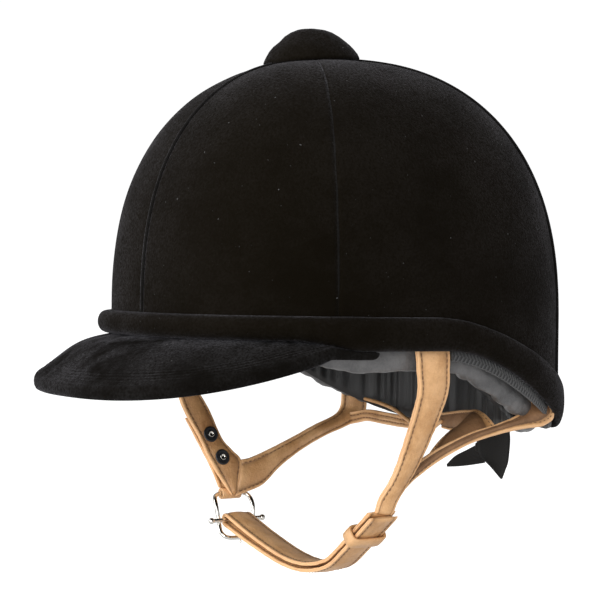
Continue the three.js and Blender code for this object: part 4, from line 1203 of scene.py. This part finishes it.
BOW_LEFT_TAIL = (
    ((5, 104.5, -58), (36, 103.5, -54)), ((4.5, 105.5, -67), (36, 105, -64)),
    ((5.5, 106.5, -75), (32.8, 106, -75.5)), ((16, 106, -81.5), (29.5, 105.5, -81.5)),
    ((25.2, 105, -87), (26.4, 105, -87)),
)


def harness():
    """Six padded straps. The left front strap rides on no body; its meshes have their placement baked into
    their points.
    """
    for seed, (name, (shaded_faces, soft, keys)) in enumerate(HARNESS.items(), HARNESS_SEED):
        body = None if name == BENT_STRAP else "helmet"
        for piece in strap(name, body, keys, seed=seed, lining=shaded_faces, soft=soft):
            if body is None:
                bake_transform(piece)


def lace():
    build = Build()
    rounded_tube(build, even_curve(LACE_LINE, 1.5), 1.2, 8)
    settle(build.make("nape_lace_leather", TAN), "helmet", "tan_leather", "nape_lace")
    knot = Build()
    ball(knot, KNOT, (3.4, 2.5, 2.4))
    angle = np.linspace(0, 2 * math.pi, 28)
    for lean in (-0.5, 0.6):
        turn = xyz(3.9 * np.cos(angle), 2.8 * np.sin(angle), 2.2 * np.sin(angle + lean))
        rounded_tube(knot, KNOT + turn, 1.0, 8)
    for end in LACE_ENDS:
        rounded_tube(knot, even_curve(end, 1.2), 1.0, 8)
    settle(knot.make("lace_knot_leather", TAN), "helmet", "tan_leather", "lace_knot")


def ribbon(node_name, keys):
    centre, across, face, width = strap_frame(keys, RIBBON_STEP)
    share = np.linspace(-0.5, 0.5, 13)[:, None]
    flat = across[:, None] * share + face[:, None] * RIBBON_CURL * share**2
    grid = centre[:, None] + flat * width[:, None, None]
    grid = grid + face[:, None] * (0.5 * wobble(grid, 18, 61))[..., None]
    build = Build()
    slab(build, grid, grid - face[:, None] * RIBBON_THICKNESS)
    settle(build.make(node_name + "_ribbon", RIBBON), "helmet", "ribbon", node_name)


def bow():
    """The knot, a soft block pinched at its middle, and the two tails."""
    angle = circle(28)
    deep = np.sign(np.cos(angle)) * np.abs(np.cos(angle)) ** 0.6
    tall = np.sign(np.sin(angle)) * np.abs(np.sin(angle)) ** 0.6
    sections = []
    for share in np.linspace(-1, 1, 13):
        size = (1 - 0.25 * (1 - abs(share)) ** 0.5) * math.sqrt(max(0.05, 1 - share**8))
        sections.append(BOW + xyz(4.6 * share, 2.1 * size * deep, 3.5 * size * tall))
    build = Build()
    ring_solid(build, sections)
    settle(build.make("bow_knot_ribbon", RIBBON), "helmet", "ribbon", "bow_knot")
    ribbon("bow_right_tail", BOW_RIGHT_TAIL)
    ribbon("bow_left_tail", BOW_LEFT_TAIL)


def studs():
    """Press studs: a dark rimmed disc with a bright post in a ring on the inside, a cap outside."""
    for name, centre in zip(("upper_stud", "lower_stud"), STUDS):
        for piece, profile, lift, finish, slot, body, nodes in (
            ("_disc", STUD_DISC_PROFILE, STUD_INSIDE, GUNMETAL, "gunmetal", "helmet", [name + "_socket"]),
            ("_post", STUD_POST_PROFILE, STUD_INSIDE, NICKEL, "nickel", "helmet", []),
            ("_cap_metal", STUD_CAP_PROFILE, STUD_OUTSIDE, GUNMETAL, "gunmetal", "tab", [name + "_cap"]),
        ):
            build = Build()
            turned(build, centre + STRAP_OUTWARD * lift, STRAP_OUTWARD * math.copysign(1, lift), profile)
            settle(build.make(name + piece, finish), body, slot, *nodes)


# ---------- chin strap, buckle and tab ----------


def beside(line, gap):
    """A line next to the chin strap's middle line; the gap shrinks towards the junction."""
    along = unit(np.gradient(line, axis=0))
    share = 1 - (1 - np.linspace(0, 1, len(line))) ** 3
    gaps = mix(gap, math.copysign(CHIN_NEAR_GAP, gap), share)[:, None]
    return line + np.stack([-along[:, 1], along[:, 0]], axis=-1) * gaps


def chin_strap():
    """One strap, doubled round the buckle's bar."""
    middle = even_curve(CHIN_LINE, 2.0)
    inner = beside(middle, CHIN_LOOP_RADIUS)[::-1]
    outer = beside(middle, -CHIN_LOOP_RADIUS)
    start = math.atan2(*(inner[-1] - middle[0])[::-1])
    angle = start + np.linspace(0, math.pi, 12)[1:-1]
    loop = middle[0] + CHIN_LOOP_RADIUS * np.stack([np.cos(angle), np.sin(angle)], axis=-1)
    half = CHIN_WIDTH / 2
    keys = [((x, CHIN_Y - half, z), (x, CHIN_Y + half, z)) for x, z in np.vstack([inner, loop, outer])]
    strap("chin_strap", "chin_strap", keys, CHIN_THICKNESS, 0.3, seed=CHIN_SEED, creases=0.1)


def keeper():
    """A leather band round both layers of the chin strap."""
    (x, z), (end_x, end_z) = CHIN_LINE[-2:]
    along = unit([end_x - x, 0, end_z - z])
    up = unit(np.cross(along, SIDEWAYS))
    angle = circle(72)
    wide = (CHIN_WIDTH / 2 + KEEPER_SIDE_ROOM) * rounded_square(angle) * np.cos(angle)
    high = (CHIN_NEAR_GAP + KEEPER_ROOM) * rounded_square(angle) * np.sin(angle)
    loop = KEEPER_SPOT + np.outer(wide, SIDEWAYS) + np.outer(high, up)
    outward = unit(np.cross(unit(np.roll(loop, -1, axis=0) - np.roll(loop, 1, axis=0)), along))
    build = Build()
    half = along * KEEPER_HALF_LENGTH
    section = [loop + half * share + outward * lift for share, lift in KEEPER_PROFILE]
    long_solid(build, section, closed=True)
    settle(build.make("strap_keeper_leather", TAN), "keeper", "tan_leather", "strap_keeper")


def buckle():
    """Bent wire: a ring with a waist, carried on a cross bar with ball ends."""
    slope = BUCKLE_FOOT - BUCKLE_TOP
    length = np.linalg.norm(slope)
    down = unit(slope)
    face = np.cross(down, SIDEWAYS)
    angle = circle(120)
    lengthwise = length / 2 * rounded_square(angle) * np.sin(angle)
    share = np.clip(0.5 + lengthwise / length, 0, 1)
    waist = 1 - 0.06 * np.exp(-(((share - BUCKLE_WAIST) / 0.16) ** 2))
    across = BUCKLE_HALF_WIDTH * rounded_square(angle) * np.cos(angle) * waist
    sway = 1.6 * np.sin(2 * math.pi * share)
    ring = np.outer(across, SIDEWAYS) + np.outer(lengthwise, down) + np.outer(sway, face)
    build = Build()
    tube(build, (BUCKLE_TOP + BUCKLE_FOOT) / 2 + ring, BUCKLE_WIRE, sides=14, closed=True, across=face)
    for way in (-SIDEWAYS, SIDEWAYS):
        ring_end = BUCKLE_TOP + slope * BUCKLE_WAIST + way * 12.4
        rounded_tube(build, [ring_end, BUCKLE_BAR + way * 12.6], BUCKLE_WIRE, 12)
        ball(build, BUCKLE_BAR + way * BAR_HALF_LENGTH, BAR_BALL)
    half_bar = SIDEWAYS * BAR_HALF_LENGTH
    rounded_tube(build, [BUCKLE_BAR - half_bar, BUCKLE_BAR, BUCKLE_BAR + half_bar], BUCKLE_WIRE, 14)
    settle(build.make("buckle_wire", NICKEL), "buckle", "nickel", "buckle_frame")


def prong():
    """A pin that turns on the bar by a small eye and rests on the foot of the ring."""
    along = unit(BUCKLE_FOOT - BUCKLE_BAR)
    start = BUCKLE_BAR + along * 1.6 + PRONG_LIFT * 0.55
    end = BUCKLE_FOOT + along * 2.5 + PRONG_LIFT
    angle = circle(28)
    eye = np.outer(np.cos(angle), along) + np.outer(np.sin(angle), np.cross(SIDEWAYS, along))
    build = Build()
    rounded_tube(build, np.linspace(start, end, 8), PRONG_RADIUS, 10)
    tube(build, BUCKLE_BAR + PRONG_EYE * eye, PRONG_EYE_WIRE, sides=8, closed=True, across=SIDEWAYS)
    settle(build.make("buckle_prong", NICKEL), "tongue", "nickel", "buckle_tongue")


def stud_tab():
    """The tab that carries the stud caps, with a loop round the top of the buckle."""
    away = STRAP_OUTWARD * TAB_GAP
    keys = [broad(*(point + away), -SIDEWAYS, width) for point, width in TAB_LINE]
    strap("stud_tab", "tab", keys, TAB_THICKNESS, 0.2, seed=TAB_SEED)
    angle = circle(40)
    loop = [xyz(size * np.cos(angle), half, size * np.sin(angle)) for size, half in TAB_LOOP_PROFILE]
    build = Build()
    long_solid(build, BUCKLE_TOP + loop, closed=True)
    settle(build.make("tab_loop_leather", TAN), "tab", "tan_leather")


def paint_frame():
    """The CAD nodes that stay in view keep their meshes and get a finish."""
    finishes = {"outer_shell": SHELL, "peak_board": SHELL, "foam_liner": FOAM, "button_rivet": NICKEL}
    for place in ("left_front", "left_rear", "right_front", "right_rear"):
        finishes[place + "_rivet"] = NICKEL
    for name, finish in finishes.items():
        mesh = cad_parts[name].data
        mesh.materials.clear()
        mesh.materials.append(finish)


# ---------- stage ----------


def camera():
    aim = Matrix.Identity(4)
    for degrees, axis in ((VIEW_AZIMUTH, "Z"), (90 - VIEW_ELEVATION, "X"), (VIEW_ROLL, "Z")):
        aim = aim @ Matrix.Rotation(math.radians(degrees), 4, axis)
    data = bpy.data.cameras.new("camera")
    data.lens = FOCAL_LENGTH
    data.sensor_width = SENSOR_WIDTH
    data.shift_x, data.shift_y = SHIFT
    data.clip_start, data.clip_end = CLIP_RANGE
    back_off = Matrix.Translation((0, 0, VIEW_DISTANCE))
    bpy.context.scene.camera = show("camera", data)
    bpy.context.scene.camera.matrix_world = Matrix.Translation(VIEW_TARGET) @ aim @ back_off


def area_light(name, place, size, power):
    data = bpy.data.lights.new(name, "AREA")
    data.shape = "RECTANGLE"
    data.size, data.size_y = size
    data.energy = power
    light = show(name, data)
    light.location = place
    light.rotation_mode = "QUATERNION"
    light.rotation_quaternion = (Vector(LIT_POINT) - Vector(place)).to_track_quat("-Z", "Y")
    light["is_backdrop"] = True


def floor_material():
    """Pale from above and clear from below, so the underside can be looked at."""
    look = new_look("pale_floor")
    seen = look.node("LightPath").outputs["Is Camera Ray"]
    glow = look.combine("MULTIPLY", seen, FLOOR_GLOW)
    look.set(Base_Color=look.mix(seen, FLOOR_BOUNCE, FLOOR_SEEN), Roughness=0.9)
    look.set(Emission_Color=(1, 1, 1), Emission_Strength=glow)
    clear = look.node("BsdfTransparent").outputs[0]
    from_below = look.node("NewGeometry").outputs["Backfacing"]
    surface = look.node("MixShader", {0: from_below, 1: look.shader.outputs[0], 2: clear}).outputs[0]
    look.feed(look.tree.nodes["Material Output"], {0: surface})
    return look.owner


def floor():
    low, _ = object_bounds()
    z = low.z - FLOOR_DROP
    corners = [(x * FLOOR_REACH, y * FLOOR_REACH, z) for x, y in ((-1, -1), (1, -1), (1, 1), (-1, 1))]
    mesh = bpy.data.meshes.new("floor")
    mesh.from_pydata(corners, [], [(0, 1, 2, 3)])
    mesh.materials.append(floor_material())
    show("floor", mesh)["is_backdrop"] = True


def surroundings():
    """White all round, dimmer as a light and in reflections than it looks."""
    world = bpy.data.worlds.new("studio")
    bpy.context.scene.world = world
    look = Look(world)
    rays = look.node("LightPath").outputs
    plain = look.remap(rays["Is Camera Ray"], 0, 1, WORLD_LIGHT, WORLD_SEEN)
    dimmed = look.remap(rays["Is Glossy Ray"], 0, 1, 1, WORLD_REFLECTED)
    look.set(Color=(1, 1, 1), Strength=look.combine("MULTIPLY", plain, dimmed))


def stage():
    floor()
    surroundings()
    for name, (place, size, power) in LIGHTS.items():
        area_light(name, place, size, power)
    view = bpy.context.scene.view_settings
    view.view_transform = "Standard"
    view.look = "None"


crown_panels()
seam_piping()
hat_band()
peak_cover()
crown_button()
rim_tape()
headband_roll()
lining()
crown_pad()
harness()
lace()
bow()
studs()
chin_strap()
keeper()
buckle()
prong()
stud_tab()
paint_frame()
stage()
camera()
